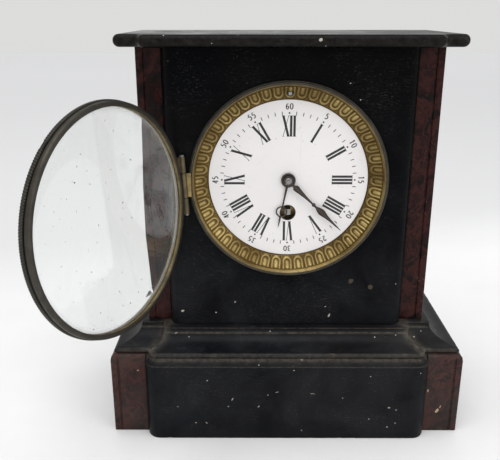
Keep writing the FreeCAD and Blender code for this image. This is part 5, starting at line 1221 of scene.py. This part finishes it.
# %% Finishes for the measured pieces
by_slot = {"slate": slate_plain, "red_marble": red_marble, "gilt_brass": gilt, "dark_brass": patina,
           "enamel": enamel, "clear_glass": clear_glass, "steel": steel, "blackened_steel": blackened,
           "brass": brass}
slots = {p["node"]: p["material_slot"] for p in frame["record"]["subparts"]}
for name, node in frame["nodes"].items():
    node.data.materials.clear()
    node.data.materials.append(by_slot[slots[name]])
print("dressed", len(frame["nodes"]), "measured pieces")

# %% [markdown]
# ## Floor, light and camera
# The clock stands on a pale floor in soft light. The world is one pale grey to the camera, in mirrors and
# through glass, so metal and glass show the same backdrop that the camera sees. The slate is black by its
# own finish and not by the light. The camera's place, pitch and lens were worked out from the photograph.

# %% Stage
floor_mesh = bpy.data.meshes.new("floor")
FLOOR_REACH = 4.0
corners = [(x * FLOOR_REACH, y * FLOOR_REACH, 0) for x, y in ((-1, -1), (1, -1), (1, 1), (-1, 1))]
floor_mesh.from_pydata(corners, [], [(0, 1, 2, 3)])
floor = bpy.data.objects.new("floor", floor_mesh)
floor.location.z = cad_low.z
bpy.context.scene.collection.objects.link(floor)
floor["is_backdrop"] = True
r = Recipe("pale_floor", Roughness=0.7)
pale = r.blend(r.steps(r.noise(9, 5, 0.6), (0.3, 0.0), (0.75, 1.0)), (0.91, 0.91, 0.90),
               (0.86, 0.86, 0.845))
# The floor is painted darker towards the back, past a slanting line, as painted shade that fades it into the
# backdrop.
slant = r.node("VectorMath", {0: r.place, 1: (-0.25, 1, 0)}, operation="DOT_PRODUCT").outputs["Value"]
distance = r.node("MapRange", {"Value": slant, "From Min": 0.20, "From Max": 0.40},
                  interpolation_type="SMOOTHSTEP").outputs[0]
horizon_shade = r.node("MapRange", {"Value": slant, "From Min": 0.5, "From Max": 2.6}).outputs[0]
pale = r.blend(distance, pale, r.blend(horizon_shade, (0.77, 0.77, 0.765), (0.86, 0.86, 0.855)))
r.set(Base_Color=pale)
floor_mesh.materials.append(r.material)

world = bpy.data.worlds.new("studio")
bpy.context.scene.world = world
world.use_nodes = True
tree = world.node_tree
tree.nodes.clear()
path = tree.nodes.new("ShaderNodeLightPath")
shades = {"soft": (0.83, 0.835, 0.85), "backdrop": (0.72, 0.72, 0.71)}
backgrounds = {}
for name, shade in shades.items():
    backgrounds[name] = tree.nodes.new("ShaderNodeBackground")
    backgrounds[name].inputs["Color"].default_value = (*shade, 1)
seen = path.outputs["Is Camera Ray"]
for ray in ("Is Glossy Ray", "Is Transmission Ray"):
    either = tree.nodes.new("ShaderNodeMath")
    either.operation = "MAXIMUM"
    tree.links.new(seen, either.inputs[0])
    tree.links.new(path.outputs[ray], either.inputs[1])
    seen = either.outputs[0]
mix = tree.nodes.new("ShaderNodeMixShader")
tree.links.new(seen, mix.inputs[0])
tree.links.new(backgrounds["soft"].outputs[0], mix.inputs[1])
tree.links.new(backgrounds["backdrop"].outputs[0], mix.inputs[2])
output = tree.nodes.new("ShaderNodeOutputWorld")
tree.links.new(mix.outputs[0], output.inputs[0])

# %% [markdown]
# Two large square lamps face the dial, one overhead and a weaker one from the front right. The camera stands
# a little left of the middle and looks down at the clock by about 18 and a half degrees.


# %% Lamps and camera
def soft_lamp(name, place, aim, size, power):
    """A square lamp that faces a point."""
    data = bpy.data.lights.new(name, "AREA")
    data.size, data.energy = size, power
    lamp = bpy.data.objects.new(name, data)
    lamp.location = place
    toward = Vector(aim) - Vector(place)
    lamp.rotation_mode = "QUATERNION"
    lamp.rotation_quaternion = toward.to_track_quat("-Z", "Y")
    bpy.context.scene.collection.objects.link(lamp)


aim = (0, 0, DIAL_HEIGHT * MM)
soft_lamp("overhead", (-0.15, -0.35, 1.35), aim, 1.1, 7.5)
soft_lamp("window", (0.9, -0.8, 0.7), aim, 0.7, 2.5)

PIXELS_WIDE = 500
FOCAL_PIXELS = 648.5
PITCH = 0.3234
YAW = 0.003
camera_data = bpy.data.cameras.new("camera")
camera_data.sensor_width = 36.0
camera_data.lens = FOCAL_PIXELS / PIXELS_WIDE * camera_data.sensor_width
camera = bpy.data.objects.new("camera", camera_data)
camera.location = (-21.28 * MM, (-364.2 + SLATE_FACE) * MM, 250.8 * MM)
camera.rotation_euler = (math.pi / 2 - PITCH, 0, YAW)
bpy.context.scene.collection.objects.link(camera)
bpy.context.scene.camera = camera
bpy.context.scene.view_settings.view_transform = "Standard"
print("camera", tuple(round(v, 4) for v in camera.location))

# %% [markdown]
# ## Closing
# The box of the dressed clock is worked out at the end, as the measured model's was in the first cell.

# %% Sizes and finish
low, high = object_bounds()
